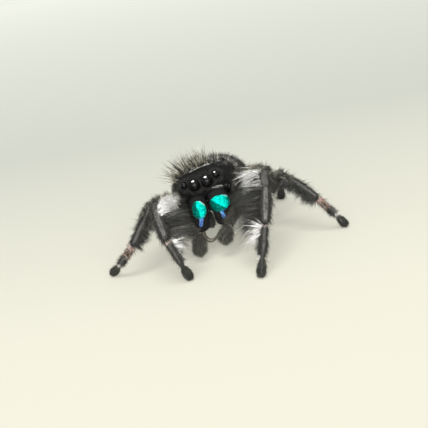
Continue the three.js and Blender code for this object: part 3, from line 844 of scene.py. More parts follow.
def paint(mesh, colours):
    layer = mesh.color_attributes.new("coat", "FLOAT_COLOR", "POINT")
    opaque = np.column_stack([colours, np.ones(len(colours))])
    layer.data.foreach_set("color", opaque.astype(np.float32).ravel())


def skin_colours(points, outward):
    """Each skin vertex takes the colour of the nearest part's surface."""
    parts = list(FLESH.values())
    cloud = np.vstack([part.rings.reshape(-1, 3) for part in parts])
    owner = np.concatenate([np.full(part.rings[..., 0].size, i) for i, part in enumerate(parts)])
    share = np.concatenate([np.repeat(part.t, part.rings.shape[1]) for part in parts])
    along = np.vstack([
        np.repeat(unit(np.gradient(part.rings.mean(axis=1), axis=0)), part.rings.shape[1], axis=0)
        for part in parts
    ])
    tree = KDTree(len(cloud))
    for i, point in enumerate(cloud):
        tree.insert(point, i)
    tree.balance()
    nearest = np.array([tree.find(point)[1] for point in points])
    colours = np.empty(points.shape)
    for i, part in enumerate(parts):
        mask = owner[nearest] == i
        if mask.any():
            back = part.backness(outward[mask], along[nearest][mask])
            colours[mask] = markings(part, share[nearest][mask], points[mask], back)
    return colours


# ---------- materials ----------
def socket_of(sockets, key):
    """A node's socket by its number, or by its name among those in use."""
    if isinstance(key, int):
        return sockets[key]
    return next(socket for socket in sockets if socket.name == key and socket.enabled)


class Nodes:
    """The nodes of a material or a world. Values are numbers, colours or other nodes' outputs."""

    def __init__(self, owner):
        owner.use_nodes = True
        self.tree = owner.node_tree

    def fill(self, node, values):
        for key, value in values.items():
            socket = socket_of(node.inputs, key)
            if isinstance(value, bpy.types.NodeSocket):
                self.tree.links.new(value, socket)
            elif socket.type == "RGBA":
                socket.default_value = (*value, 1)
            else:
                socket.default_value = value

    def add(self, kind, output, values=None, **settings):
        node = self.tree.nodes.new(f"ShaderNode{kind}")
        for key, value in settings.items():
            setattr(node, key, value)
        self.fill(node, values or {})
        return socket_of(node.outputs, output)

    def stretch(self, value, low, high, start=0.0, end=1.0, kind="SMOOTHSTEP"):
        """The range of a value from low to high, stretched to start and end, by a soft step or evenly."""
        ends = {"From Min": low, "From Max": high, "To Min": start, "To Max": end}
        return self.add("MapRange", "Result", {"Value": value, **ends}, interpolation_type=kind)

    def noise(self, scale, low=0.0, high=1.0, detail=3.0):
        """A noise pattern in metres of the object, stretched to a range."""
        place = self.add("TexCoord", "Object")
        pattern = self.add("TexNoise", "Fac", {"Vector": place, "Scale": scale, "Detail": detail})
        return self.stretch(pattern, 0.3, 0.7, low, high, "LINEAR")

    def mix(self, share, a, b, blend="MIX"):
        values = {"Factor": share, "A": a, "B": b}
        return self.add("Mix", "Result", values, data_type="RGBA", blend_type=blend)

    def math(self, operation, *values, **settings):
        return self.add("Math", 0, dict(enumerate(values)), operation=operation, **settings)

    def ragged(self, painted, pattern, amount, low, high):
        """A soft step of a painted share, its edge broken up by a pattern."""
        return self.stretch(self.math("MULTIPLY_ADD", pattern, amount, painted, use_clamp=True), low, high)

    def ramp(self, value, first, last, *others):
        """A colour ramp. The other stops are (place, colour)."""
        node = self.tree.nodes.new("ShaderNodeValToRGB")
        elements = node.color_ramp.elements
        elements[0].color = (*first, 1)
        elements[1].color = (*last, 1)
        for place, colour in others:
            elements.new(place).color = (*colour, 1)
        self.fill(node, {"Fac": value})
        return node.outputs["Color"]


class Material(Nodes):
    """A procedural material round one Principled BSDF."""

    def __init__(self, name, roughness, specular=0.5):
        self.material = bpy.data.materials.new(name)
        super().__init__(self.material)
        self.shade({"Roughness": roughness, "Specular IOR Level": specular})

    def shade(self, values):
        self.fill(self.tree.nodes["Principled BSDF"], values)

    def bump(self, height, strength, distance):
        values = {"Strength": strength, "Distance": distance, "Height": height}
        self.shade({"Normal": self.add("Bump", "Normal", values)})


def painted_material(name, roughness, specular, scale, low, high):
    """Hair or skin in the colours painted on the mesh, varied by a fine noise."""
    made = Material(name, roughness, specular)
    painted = made.add("VertexColor", "Color", layer_name="coat")
    made.shade({"Base Color": made.mix(1.0, painted, made.noise(scale, low, high), "MULTIPLY")})
    return made


def hair_material():
    return painted_material("hair", 0.45, 0.13, 6000, 0.7, 1.3).material


def skin_material():
    made = painted_material("skin", 0.5, 0.2, 9000, 0.6, 1.3)
    made.bump(made.noise(22000, detail=4), 0.6, 0.00002)
    return made.material


def lens_material():
    """A black glassy cornea, a little brown at its edge."""
    made = Material("lens", 0.05)
    facing = made.add("LayerWeight", "Facing", {"Blend": 0.3})
    shade = made.mix(facing, (0.002, 0.002, 0.003), (0.012, 0.009, 0.007))
    made.shade({"IOR": 1.32, "Base Color": made.mix(1.0, shade, made.noise(4000, 0.7, 1.3), "MULTIPLY")})
    return made.material


def jaw_material():
    """Iridescent jaw: green metal with a blue tail where it is bare, black where it is haired. Painted shade
    darkens the green on one side, and a painted highlight turns its upper rim pale cyan.
    """
    made = Material("jaw", 0.3, 0.12)
    bare, blue, deep, pale = (
        made.add("Attribute", "Fac", attribute_name=key) for key in ("bare", "blue", "deep", "pale")
    )
    scales = made.noise(9000, -0.35, 1.35, detail=4)
    blotches = made.noise(3600, -1.0, 1.0)
    fresh = made.mix(scales, (0.0, 0.46, 0.32), (0.0, 0.92, 0.80))
    # Painted shade: the darker green of the jaw's shaded side.
    shaded = made.mix(scales, (0.0, 0.07, 0.055), (0.0, 0.24, 0.18))
    green = made.mix(made.ragged(deep, blotches, 0.3, 0.35, 0.65), fresh, shaded)
    tail = made.mix(scales, (0.05, 0.12, 0.50), (0.20, 0.42, 0.85))
    # Painted highlight: a pale cyan rim along the jaw's upper edge.
    rim = made.ragged(pale, blotches, 0.25, 0.4, 0.8)
    colour = made.mix(rim, made.mix(blue, green, tail), (0.52, 0.80, 0.76))
    shining = made.ragged(bare, blotches, 0.32, 0.45, 0.7)
    made.shade({
        "Base Color": made.mix(shining, (0.012, 0.012, 0.012), colour),
        "Metallic": made.stretch(shining, 0, 1, 0.0, 0.8),
        "Roughness": made.stretch(shining, 0, 1, 0.6, 0.3),
    })
    made.bump(made.noise(9000, detail=4), 1.0, 0.00005)
    return made.material


def fang_material():
    made = Material("fang", 0.25)
    made.shade({"Base Color": made.ramp(made.noise(3000), (0.05, 0.042, 0.028), (0.14, 0.122, 0.085))})
    return made.material


# ---------- hairs ----------
class Hairs(Rows):
    """Many hairs: where each starts, its first and last direction, its length, width and colour."""

    @staticmethod
    def join(groups):
        return Hairs(**{key: np.concatenate([getattr(g, key) for g in groups]) for key in vars(groups[0])})

    def point(self, share):
        bend = share**2 / 2 * (self.last - self.first)
        return self.root + self.length[:, None] * (share * self.first + bend)

    def direction(self, share):
        return unit(self.first * (1 - share) + self.last * share)


CHARTS = [*FLESH, *(surface.name for surface in JAWS.values())]
# The least and most width of each sort of hair, and how deep a hair is set in.
SOFT = (0.018, 0.03)
FINE = (0.018, 0.027)
STOUT = (0.022, 0.034)
STIFF = (0.026, 0.04)
HAIR_ROOT = 0.015
# A lock's hairs sway together, differ in length from other locks' and are pulled together at their ends.
LOCK_SWAY = 0.16
LOCK_LENGTHS = (0.75, 1.15)
LOCK_PULL = 1.6
# How bright single hairs are beside their place's colour, how often, and the least brightness of white ones.
SPECKLES = (0.3, 0.8, 1.0, 1.2, 1.6)
SPECKLE_SHARES = (0.15, 0.25, 0.3, 0.2, 0.1)
WHITE_FROM = 0.6
WHITE_SPECKLE = 0.85
BRIGHTEST = 0.95


def spread(low, high, count):
    return rng.uniform(low, high, count)


def jitter(count, amount):
    return rng.normal(0, amount, (count, 3))


def gather(at, row_locks, angle_locks, reach):
    """Gathers neighbouring hairs in locks, and gives each hair its lock's number, pull, sway and length."""
    lock = np.floor(at.row * row_locks) * 1000 + np.floor(at.angle * angle_locks)
    _, lock = np.unique(lock, return_inverse=True)
    count = np.bincount(lock)
    middle = np.stack([np.bincount(lock, at.p[:, k]) / count for k in range(3)], axis=-1)
    pull = (middle[lock] - at.p) / reach
    return lock, pull, jitter(len(count), LOCK_SWAY)[lock], spread(*LOCK_LENGTHS, len(count))[lock]


def hairs_on(part, density, length, lift, width=FINE, where=None, lie=None, fall=0.0, wild=0.2, colour=None,
             locks=None):
    """Hairs over one part, so many to a square millimetre, between two lengths and two widths.

    Lift is the angle off the skin in degrees, and fall bends the ends down. The function where gives the
    share of the hairs that grow at a place, and lie their direction. Locks are counted along and round it.
    """
    at = part.sample(density)
    if where:
        at = at.keep(rng.random(len(at.t)) < where(at))
    n = len(at.t)
    along = lie(at) if lie else at.along
    along = unit(along - at.normal * np.sum(along * at.normal, axis=1, keepdims=True))
    angle = np.radians(spread(*lift, n))[:, None]
    first = unit(along * np.cos(angle) + at.normal * np.sin(angle) + jitter(n, wild))
    last = unit(first + along * 0.5 - UP * fall + jitter(n, wild * 0.6))
    lengths = spread(*length, n)
    lock = np.arange(n)
    if locks:
        lock, pull, sway, longer = gather(at, *locks, np.mean(length))
        first, last = unit(first + sway), unit(last + sway + LOCK_PULL * pull)
        lengths = lengths * longer
    if colour is None:
        base = markings(part, at.t, at.p, at.back)
    else:
        options = np.atleast_2d(colour)
        base = options[rng.integers(len(options), size=n)[lock]]
    speckle = rng.choice(SPECKLES, size=(n, 1), p=SPECKLE_SHARES)
    white = base.mean(axis=1, keepdims=True) > WHITE_FROM
    speckle = np.where(white, np.maximum(speckle, WHITE_SPECKLE), speckle)
    return Hairs(root=at.p - at.normal * HAIR_ROOT, first=first, last=last, length=lengths,
                 width=spread(*width, n), colour=np.minimum(base * speckle, BRIGHTEST), row=at.row,
                 angle=at.angle, chart=np.full(n, CHARTS.index(part.name)))


def grow(parts, *sizes, **settings):
    """The same hair over each of several parts."""
    return [hairs_on(part, *sizes, **settings) for part in parts]


ROOT_GAP = 0.06  # how far a hair's root may lie from the skin
TIP_DEPTH = 0.01  # how deep in the skin its tip may end
LEAST_HEIGHT = 0.01
EYE_MARGIN = 1.04
LONG_HAIR = 0.3


def clear_hairs(hairs, tree):
    """Leaves out hairs that start inside the body, run back into it, or reach an eye or the floor."""
    middle, tip = hairs.point(0.6), hairs.point(1.0)
    good = (tip[:, 2] > LEAST_HEIGHT) & (middle[:, 2] > LEAST_HEIGHT)
    for eye in EYES.values():
        for points in (hairs.root, middle, tip):
            good &= np.linalg.norm(points - eye["centre"], axis=1) > eye["radius"] * EYE_MARGIN
    for i in np.flatnonzero(good):
        *_, distance = tree.find_nearest(Vector(hairs.root[i]))
        good[i] = distance <= ROOT_GAP
        if good[i] and hairs.length[i] > LONG_HAIR:
            place, normal, _, _ = tree.find_nearest(Vector(tip[i]))
            good[i] = (Vector(tip[i]) - place).dot(normal) > -TIP_DEPTH
    return hairs.keep(good)


def patch_corners(hairs, segments):
    """Each hair's patch on the unwrap: its root's place, with a little spread round and along it."""
    charts = np.unique(hairs.chart)
    cells = math.ceil(math.sqrt(len(charts)))
    cell = np.searchsorted(charts, hairs.chart)
    margin, patch = 0.03, 0.003
    u = (cell % cells + margin + (1 - 2 * margin) * hairs.row) / cells
    v = (cell // cells + margin + (1 - 2 * margin) * hairs.angle) / cells
    round_it = np.tile([0.0, 0.5, 1.0], segments)
    along_it = np.repeat(np.arange(segments) / segments, 3)
    du = np.append(round_it, 0.5) * patch - patch / 2
    dv = np.append(along_it, 1.0) * patch - patch / 2
    return np.stack([u[:, None] + du, v[:, None] + dv], axis=-1)


TAPER = 1.5
TWIST = 0.5


def hair_pattern(segments):
    """The triangles of one closed, three-sided hair, its rings of points counted from the root."""
    pattern = [(0, 2, 1)]
    for j in range(segments - 1):
        a, b = 3 * j, 3 * j + 3
        for k in range(3):
            m = (k + 1) % 3
            pattern += [(a + k, a + m, b + m), (a + k, b + m, b + k)]
    top = 3 * segments - 3
    pattern += [(top + k, top + (k + 1) % 3, 3 * segments) for k in range(3)]
    return np.array(pattern)


def hair_points(hairs, segments):
    """Each hair's rings of three points, and its tip."""
    n = len(hairs.root)
    points = np.empty((n, 3 * segments + 1, 3), np.float32)
    side = unit(np.cross(hairs.first, hairs.last + jitter(n, TWIST)))
    for j in range(segments):
        share = j / segments
        forward = hairs.direction(share)
        across = unit(side - forward * np.sum(side * forward, axis=1, keepdims=True))
        over = np.cross(forward, across)
        half = (hairs.width / 2 * (1 - share**TAPER))[:, None]
        for k, turn in enumerate(2 * np.pi * np.arange(3) / 3):
            outward = math.cos(turn) * across + math.sin(turn) * over
            points[:, 3 * j + k] = hairs.point(share) + half * outward
    points[:, -1] = hairs.point(1.0)
    return points


def hair_mesh(name, hairs, segments):
    """One mesh of closed, three-sided, tapering hairs."""
    points = hair_points(hairs, segments)
    n, per_hair = points.shape[:2]
    triangles = (hair_pattern(segments) + per_hair * np.arange(n)[:, None, None]).reshape(-1, 3)
    mesh = bpy.data.meshes.new(name)
    mesh.vertices.add(n * per_hair)
    mesh.vertices.foreach_set("co", to_part(points.reshape(-1, 3)).astype(np.float32).ravel())
    mesh.loops.add(triangles.size)
    mesh.loops.foreach_set("vertex_index", triangles.astype(np.int32).ravel())
    mesh.polygons.add(len(triangles))
    mesh.polygons.foreach_set("loop_start", np.arange(0, triangles.size, 3, dtype=np.int32))
    mesh.polygons.foreach_set("use_smooth", np.ones(len(triangles), bool))
    mesh.update(calc_edges=True)
    corners = patch_corners(hairs, segments).reshape(-1, 2)[triangles.ravel()]
    mesh.uv_layers.new(name="OFBake").data.foreach_set("uv", corners.astype(np.float32).ravel())
    paint(mesh, np.repeat(hairs.colour, per_hair, axis=0))
    print(name, n, "hairs", len(triangles), "triangles")
    return mesh


# Where each jaw is bare and shines: the middle and half size of an oval, the direction of its side of painted
# shade and of its rim of painted highlight, and the two ends of a blue tail below it, given as (left, up) in
# the head's frame.
SHINE = {
    "left": dict(middle=(0.80, -0.43), half=(0.74, 0.54), shaded=(-0.8, -0.6), rim=(0.75, 0.66),
                 tail=((0.74, -0.86), (0.80, -1.38))),
    "right": dict(middle=(-0.65, -0.43), half=(0.48, 0.60), shaded=(-1.0, 0.0), rim=(0.8, 0.6),
                  tail=((-0.68, -0.98), (-0.88, -1.42))),
}
TAIL_WIDTH = 0.13


def jaw_shine(side, points):
    """How bare and blue each point of a jaw is, how much painted shade darkens its green, and how pale a
    painted highlight makes it.
    """
    place = ((points - CHEST) @ PROSOMA.T)[:, 1:]
    shine = SHINE[side]
    inside = (place - shine["middle"]) / shine["half"]
    oval = np.linalg.norm(inside, axis=1)
    start, end = np.array(shine["tail"])
    down = np.clip((place - start) @ (end - start) / np.sum((end - start) ** 2), 0, 1)
    apart = np.linalg.norm(place - start - down[:, None] * (end - start), axis=1)
    front = smoothstep(-0.2, 0.25, (points - head(JAW[side][2])) @ AHEAD)
    patch = 1 - smoothstep(0.9, 1.06, oval)
    tail = 1 - smoothstep(TAIL_WIDTH * 0.7, TAIL_WIDTH * 1.2, apart)
    return dict(
        bare=front * np.maximum(patch, tail),
        blue=smoothstep(-0.82, -1.1, place[:, 1]),
        # Painted shade darkens one side, and a painted highlight makes the rim pale.
        deep=smoothstep(-0.15, 0.35, inside @ shine["shaded"]) * smoothstep(-1.1, -0.85, place[:, 1]),
        pale=smoothstep(0.72, 1.0, inside @ shine["rim"]),
    )


# ---------- the coat, region by region ----------
LEGS = list(STANCE)
FIRST_PAIR = LEGS[:2]
FRONT_LEGS = LEGS[:4]
REAR_LEGS = LEGS[4:]
# Mixed colours of black hair dusted with straw, and of the hair on the jaws.
DUSTED = (STRAW, STRAW, OLIVE, BLACK, BLACK, BLACK)
JAW_FUR = (JET, BLACK * 0.6)


def parts_of(names, *kinds):
    return [FLESH[f"{name}_{kind}"] for name in names for kind in kinds]


def in_head(at):
    """Ahead, left and up of the middle of the carapace."""
    return ((at.p - CHEST) @ PROSOMA.T).T


def from_ridge(at):
    """How far ahead of the low ridge that crosses the crown."""
    ahead, left, _ = in_head(at)
    return ahead - 1.41 + 0.26 * left


def faceward(at):
    """1 where a surface faces the middle of the face."""
    return smoothstep(0.1, 0.55, np.sum(at.normal * toward_face(at.p), axis=1))


def underside(at):
    """1 on a limb's underside."""
    return smoothstep(0.0, 0.7, -at.back)


def furred(at):
    """1 but for the bare stripe along a limb's back, where there is little fur."""
    stripe_end = dict(tibia=1.01, tarsus=0.6).get(at.part.kind, 0)
    return 1 - 0.8 * bare_and_sheen(at.part, at.t, at.back) * (at.t < stripe_end)


def on_brush(at):
    return brush(at.part, at.t, at.p)


def head_lie(at):
    """Over the head the coat lies backwards, and on the face it hangs down."""
    face = smoothstep(0.4, 0.9, at.normal @ AHEAD)[:, None]
    return -AHEAD * (1 - face) - HEAD_UP * face


def crown(at):
    """The top of the head behind the ridge."""
    return smoothstep(0.5, 0.85, at.normal @ HEAD_UP) * smoothstep(0.08, -0.08, from_ridge(at))


def head_fur():
    """Velvet over the carapace, olive hair on the crown with silver hairs that are partly pale hair and
    partly painted highlights, a line of silver hair along the ridge that paints a highlight there, and lashes
    round the eyes.
    """
    def seen(at):
        return smoothstep(-0.9, -0.5, at.normal @ HEAD_UP)

    # A thin line of silver hair along the ridge across the crown: a painted highlight.
    def ridge_highlight(at):
        return ring(from_ridge(at), 0.0, 0.05, 0.03) * ring(in_head(at)[1], 0.05, 0.7, 0.1)

    def leftward(at):
        return LEFT + 0 * at.p

    def sides(at):
        """The carapace behind the face, below the crown."""
        ahead, _, _ = in_head(at)
        return seen(at) * (1 - crown(at)) * smoothstep(1.3, 0.6, ahead)

    def rims(at):
        """Close round the eyes."""
        apart = [np.linalg.norm(at.p - eye["centre"], axis=1) - eye["radius"] for eye in EYES.values()]
        return np.min(np.abs(np.array(apart) - 0.1), axis=0) < 0.12

    part = FLESH["carapace"]
    return [
        hairs_on(part, 620, (0.11, 0.19), (8, 26), SOFT, seen, head_lie, wild=0.22, colour=JET),
        # The silver hairs among the crown's hair are partly pale hair and partly painted highlights.
        hairs_on(part, 230, (0.16, 0.34), (30, 75), FINE, crown, head_lie, wild=0.6,
                 colour=(JET, BLACK, BLACK, OLIVE, OLIVE, SILVER), locks=(30, 36)),
        hairs_on(part, 420, (0.2, 0.36), (15, 45), FINE, sides, head_lie, wild=0.35,
                 colour=(JET, BLACK, BLACK, OLIVE), locks=(40, 60)),
        hairs_on(part, 1300, (0.14, 0.24), (8, 28), (0.03, 0.042), ridge_highlight, leftward, wild=0.12, colour=SILVER),
        hairs_on(part, 700, (0.16, 0.26), (50, 85), FINE, rims, head_lie, colour=BLACK),
    ]


def abdomen_fur():
    def band(at):
        return smoothstep(0.34, 0.2, at.t) * smoothstep(-0.2, 0.4, at.normal @ ABDOMEN[2])

    part = FLESH["abdomen"]
    return [
        hairs_on(part, 470, (0.2, 0.36), (10, 32), (0.02, 0.032), wild=0.24),
        hairs_on(part, 120, (0.3, 0.5), (30, 60), wild=0.3),
        hairs_on(part, 330, (0.25, 0.5), (20, 75), STOUT, band, wild=0.7, colour=DUSTED, locks=(26, 44)),
    ]


def leg_fur(names):
    """Lying fur, brushes at the feet, straw hair on thighs and knees, and pale hair below the ankles."""
    def sole(at):
        return smoothstep(0.66, 0.74, at.t)

    def flank(at):
        """Both sides of the metatarsus, mostly near its end."""
        return smoothstep(0.2, 0.5, at.t) * smoothstep(0.62, 0.58, at.t) * smoothstep(0.75, 0.35, at.back)

    def thigh_top(at):
        return smoothstep(0.3, 0.8, at.back) * ring(at.t, 0.62, 0.4, 0.1)

    def knee_top(at):
        return smoothstep(0.2, 0.6, at.back) * (at.t < 0.4)

    def shank(at):
        return ring(at.t, 0.15, 0.17, 0.05)

    flanked = [name for name in names if name != "leg_1_right"]
    first = [name for name in names if name in FIRST_PAIR]
    others = [name for name in names if name not in FIRST_PAIR]
    foot = ((0.32, 0.52), (20, 70)) if names == REAR_LEGS else ((0.16, 0.26), (20, 55))
    return [
        *grow(parts_of(names, "coxa", "femur", "tibia", "tarsus", "foot"), 430, (0.14, 0.26), (12, 38), SOFT,
              furred, wild=0.22),
        *grow(parts_of(names, "tarsus"), 420, (0.16, 0.28), (30, 60), FINE, sole, colour=SOLE),
        *grow(parts_of(names, "foot"), 500, *foot, colour=SOLE),
        *grow(parts_of(flanked, "tarsus"), 500, (0.22, 0.42), (40, 75), FINE, flank, colour=BLACK),
        *grow(parts_of(names, "femur"), 260, (0.2, 0.5), (25, 75), STOUT, thigh_top, wild=0.5, colour=DUSTED,
              locks=(22, 20)),
        *grow(parts_of(first, "femur"), 600, (0.3, 0.55), (45, 85), FINE, thigh_top, wild=0.4,
              colour=(BLACK, BLACK, BLACK, OLIVE, STRAW), locks=(22, 20)),
        *grow(parts_of(others, "tibia"), 260, (0.2, 0.45), (25, 75), STOUT, knee_top, wild=0.5,
              colour=(STRAW, STRAW, OLIVE, BLACK, BLACK), locks=(30, 20)),
        *grow(parts_of(others, "tarsus"), 420, (0.15, 0.3), (20, 55), STOUT, shank, wild=0.35,
              colour=(WHITE, WHITE, CREAM, ROSE, COPPER, BLACK, BLACK), locks=(36, 10)),
    ]


def leg_shag(names):
    """Longer loose hair on the flanks and undersides of the legs."""
    def loose(at):
        slim = np.where(at.part.kind == "tarsus", 0.6 * (at.t < 0.6), 1.0)
        return (0.1 + 0.9 * smoothstep(0.8, 0.35, at.back)) * slim

    return grow(parts_of(names, "femur", "tibia", "tarsus"), 190, (0.24, 0.48), (30, 62), FINE, loose,
                fall=0.1, locks=(26, 9))


def curtain(leg, kind, density, length, stretch, locks=(16, 7), down=0.25, inner=1.0, under=1.0):
    """A black curtain along a stretch of a limb, from its inner side and its underside towards the face, with
    about a quarter of its locks lighter to paint a grey sheen.
    """
    def inside(at):
        start, end = stretch
        side = np.maximum(inner * faceward(at), under * underside(at)) * (at.back < 0.6)
        side = side * (on_brush(at) < 0.5)
        return side * smoothstep(start, start + 0.1, at.t) * (at.t < end)

    def inwards(at):
        return toward_face(at.p) + 0.5 * at.along - down * UP

    # About one lock in four is a lighter black: a painted grey sheen.
    return hairs_on(FLESH[f"{leg}_{kind}"], density, length, (40, 75), STOUT, inside, inwards, fall=down,
                    wild=0.13, colour=(BLACK, BLACK, BLACK, BLACK * 2), locks=locks)


def fringes(side):
    """Black fringes: deep curtains inside the front leg's thigh and shin, and combs under the others."""
    first, second, *rear = (name for name in LEGS if name.endswith(side))
    return [
        curtain(first, "tibia", 500, (0.8, 1.4), (0.03, 0.6)),
        curtain(first, "tibia", 800, (1.2, 2.2), (0.35, 1.01), under=0.0),
        curtain(first, "tibia", 500, (0.4, 0.8), (0.4, 1.01), inner=0.0),
        curtain(first, "femur", 900, (1.3, 2.2), (0.0, 1.01), down=0.8, inner=0.0),
        curtain(first, "coxa", 500, (0.5, 0.9), (0.0, 1.01), down=0.8),
        curtain(first, "tarsus", 500, (0.3, 0.6), (0.22, 0.58)),
        curtain(second, "tibia", 520, (0.5, 0.95), (0.03, 1.01), (18, 5), down=0.4),
        curtain(second, "femur", 320, (0.5, 1.0), (0.1, 1.01), (18, 5), down=0.4),
        *grow(parts_of(rear, "femur", "tibia"), 160, (0.3, 0.55), (55, 85), STOUT, underside, wild=0.12,
              colour=BLACK, locks=(20, 6)),
    ]


# The white fan at each front ankle: how far down the metatarsus it grows, its hairs' length and their drop.
FANS = {
    "leg_1_left_tarsus": dict(reach=0.25, length=(0.9, 1.8), drop=0.7),
    "leg_1_right_tarsus": dict(reach=0.28, length=(0.9, 1.6), drop=0.4),
}


def ankle_fan(part, reach, length, drop):
    """White hair below a front ankle: a long fan towards the face, a cuff round the joint and a heel tuft."""
    def ankle(at):
        return faceward(at) * smoothstep(reach, 0.6 * reach, at.t) * smoothstep(0.7, 0.3, at.back)

    def down_to_face(at):
        return toward_face(at.p) - drop * UP

    def cuff(at):
        return smoothstep(0.08, 0.04, at.t)

    def heel(at):
        return faceward(at) * ring(at.t, 0.64, 0.04, 0.02)

    return [
        hairs_on(part, 2200, length, (10, 55), (0.03, 0.046), ankle, down_to_face, fall=0.1, wild=0.16,
                 colour=WHITE, locks=(30, 6)),
        hairs_on(part, 250, (0.12, 0.2), (30, 70), STOUT, cuff, wild=0.5, colour=(WHITE, CREAM, ROSE, BLACK)),
        hairs_on(part, 700, (0.3, 0.55), (30, 65), STOUT, heel, down_to_face, wild=0.16, colour=WHITE),
    ]


def white_tufts():
    """White brushes on the front thighs and knees beside the face, and at the ankles of the first pair."""
    def to_face(at):
        """Nearly level at the top of the knee, and more and more downwards below it."""
        leg = leg_of(at.part)
        drop = np.clip((STANCE[leg]["knee"][2] - at.p[:, 2]) / 0.9, 0, 1)[:, None]
        return toward_face(at.p) - (BRUSHES[leg]["hang"] + 0.9 * drop) * UP

    groups = [
        hairs_on(part, 1300, BRUSHES[leg_of(part)]["length"], (12, 45), (0.04, 0.058), on_brush, to_face,
                 fall=0.1, wild=0.22, colour=(WHITE,) * 11 + (OLIVE,), locks=(20, 12))
        for part in parts_of(FIRST_PAIR, "femur", "tibia")
    ]
    for name, fan in FANS.items():
        groups += ankle_fan(FLESH[name], **fan)
    return groups


def brow():
    """A black fringe over the jaws, a silver arc and a patch of painted sheen above the left one, silver
    hairs painting a highlight on that jaw's upper rim, and jaw hair.
    """
    def low_front(at):
        ahead, _, up = in_head(at)
        return smoothstep(1.9, 2.3, ahead) * ring(up, 0.3, 0.3, 0.1)

    def hang(at):
        return -HEAD_UP + 0.5 * AHEAD + LEFT * (0.3 * in_head(at)[1][:, None])

    def arc(at):
        ahead, left, up = in_head(at)
        height = 0.5 - 0.9 * np.maximum(left - 0.9, 0) ** 2
        return smoothstep(1.5, 1.9, ahead) * ring(up - height, 0.0, 0.08, 0.03) * ring(left, 1.0, 0.5, 0.06)

    def painted_sheen(at):
        """A patch below the left middle eye, where grey hairs paint a sheen."""
        ahead, left, up = in_head(at)
        return smoothstep(1.5, 1.9, ahead) * ring(left, 0.55, 0.35, 0.1) * ring(up, 0.42, 0.14, 0.06)

    def sideways(at):
        return LEFT - (in_head(at)[1] - 1.0)[:, None] * HEAD_UP

    def cheek(at):
        """The outer side of the left jaw, high up."""
        _, left, up = in_head(at)
        return smoothstep(1.25, 1.4, left) * smoothstep(-0.7, -0.4, up)

    def jaw_rim_highlight(at):
        """The upper outer rim of the left jaw's bare place, where silver hairs paint a highlight."""
        _, left, up = in_head(at)
        return ring(np.hypot(left - 0.8, up + 0.38), 0.68, 0.06, 0.02) * (left > 1.0) * (up > -0.1)

    def unbare(at):
        side = at.part.name.removeprefix("jaw_")
        return (jaw_shine(side, at.p)["bare"] < 0.15) * 1.0

    def jaw_top(at):
        return unbare(at) * smoothstep(-0.45, -0.1, in_head(at)[2])

    part, jaws, left_jaw = FLESH["carapace"], JAWS.values(), JAWS["left"]
    return [
        hairs_on(part, 700, (0.4, 0.75), (12, 45), STOUT, low_front, hang, wild=0.18, colour=JET),
        hairs_on(part, 1700, (0.2, 0.36), (8, 30), STOUT, arc, sideways, wild=0.12,
                 colour=(SILVER, SILVER, SILVER * 0.5)),
        # Grey hairs below the left middle eye: painted sheen.
        hairs_on(part, 500, (0.15, 0.28), (10, 40), FINE, painted_sheen, sideways, wild=0.3,
                 colour=(SILVER * 0.4, JET)),
        hairs_on(left_jaw, 90, (0.4, 0.7), (15, 40), FINE, cheek, hang, wild=0.12, colour=SILVER),
        # Silver hairs on the left jaw's upper rim: a painted highlight.
        hairs_on(left_jaw, 900, (0.1, 0.2), (8, 30), STOUT, jaw_rim_highlight, colour=SILVER),
        *grow(jaws, 700, (0.14, 0.3), (15, 50), FINE, unbare, wild=0.25, colour=JAW_FUR),
        *grow(jaws, 700, (0.3, 0.6), (25, 65), FINE, jaw_top, hang, wild=0.3, colour=JAW_FUR),
    ]


def palp_hair():
    """Hair of the palps, the mouth, the breast plate and the spinnerets."""
    groups = []
    for side in SIDES:
        for kind, length in (("palp", (0.25, 0.55)), ("palp_club", (0.25, 0.45))):
            groups.append(hairs_on(FLESH[f"{kind}_{side}"], 540, length, (25, 60), fall=0.1,
                                   colour=(BLACK, BLACK * 1.6, BLACK * 1.6, OLIVE)))
        groups.append(hairs_on(FLESH[f"maxilla_{side}"], 350, (0.15, 0.3), (20, 50)))
    groups.append(hairs_on(FLESH["sternum"], 200, (0.15, 0.3), (15, 45)))
    tips = [FLESH[f"spinneret_{row}_{side}"] for row in SPINNERETS for side in SIDES]
    return groups + grow(tips, 350, (0.12, 0.22), (20, 45))


BRISTLE_WIDTH = 0.06
BRISTLE_CURVE = 0.06


def crown_bristles():
    """The stout bristles of the crown, at the places where the solid has them."""
    part = FLESH["carapace"]
    feet, tips = [], []
    for row, tall in enumerate(BRISTLE_LENGTHS):
        ahead = BRISTLE_AHEAD - row * BRISTLE_ROW_STEP
        for k in range(BRISTLES_ACROSS):
            left = (k - (BRISTLES_ACROSS - 1) / 2 + (row % 2) / 2) * BRISTLE_SPACING
            side = math.copysign((abs(left) / shell_half_width(ahead)) ** (SHELL_BOXINESS / 2), left)
            up = shell_point(ahead, math.acos(side))[2]
            feet.append(head((ahead, left, up - COAT_DEPTH["carapace"])))
            tips.append(head((ahead + BRISTLE_LEAN * tall, left + BRISTLE_LEAN * left * tall, up + tall)))
    feet, tips = np.array(feet), np.array(tips)
    n = len(feet)
    apart = np.linalg.norm(part.rings[None] - feet[:, None, None], axis=-1)
    row, k = np.divmod(apart.reshape(n, -1).argmin(axis=1), part.rings.shape[1])
    first = unit(tips - feet)
    last = first + jitter(n, BRISTLE_CURVE)
    colours = rng.permutation(np.resize([BLACK, OLIVE, STRAW], (n, 3)))
    return Hairs(root=feet, first=first, last=last, length=np.linalg.norm(tips - feet, axis=1),
                 width=np.full(n, BRISTLE_WIDTH), colour=colours, row=row / (len(part.rings) - 1),
                 angle=k / part.rings.shape[1], chart=np.full(n, CHARTS.index(part.name)))


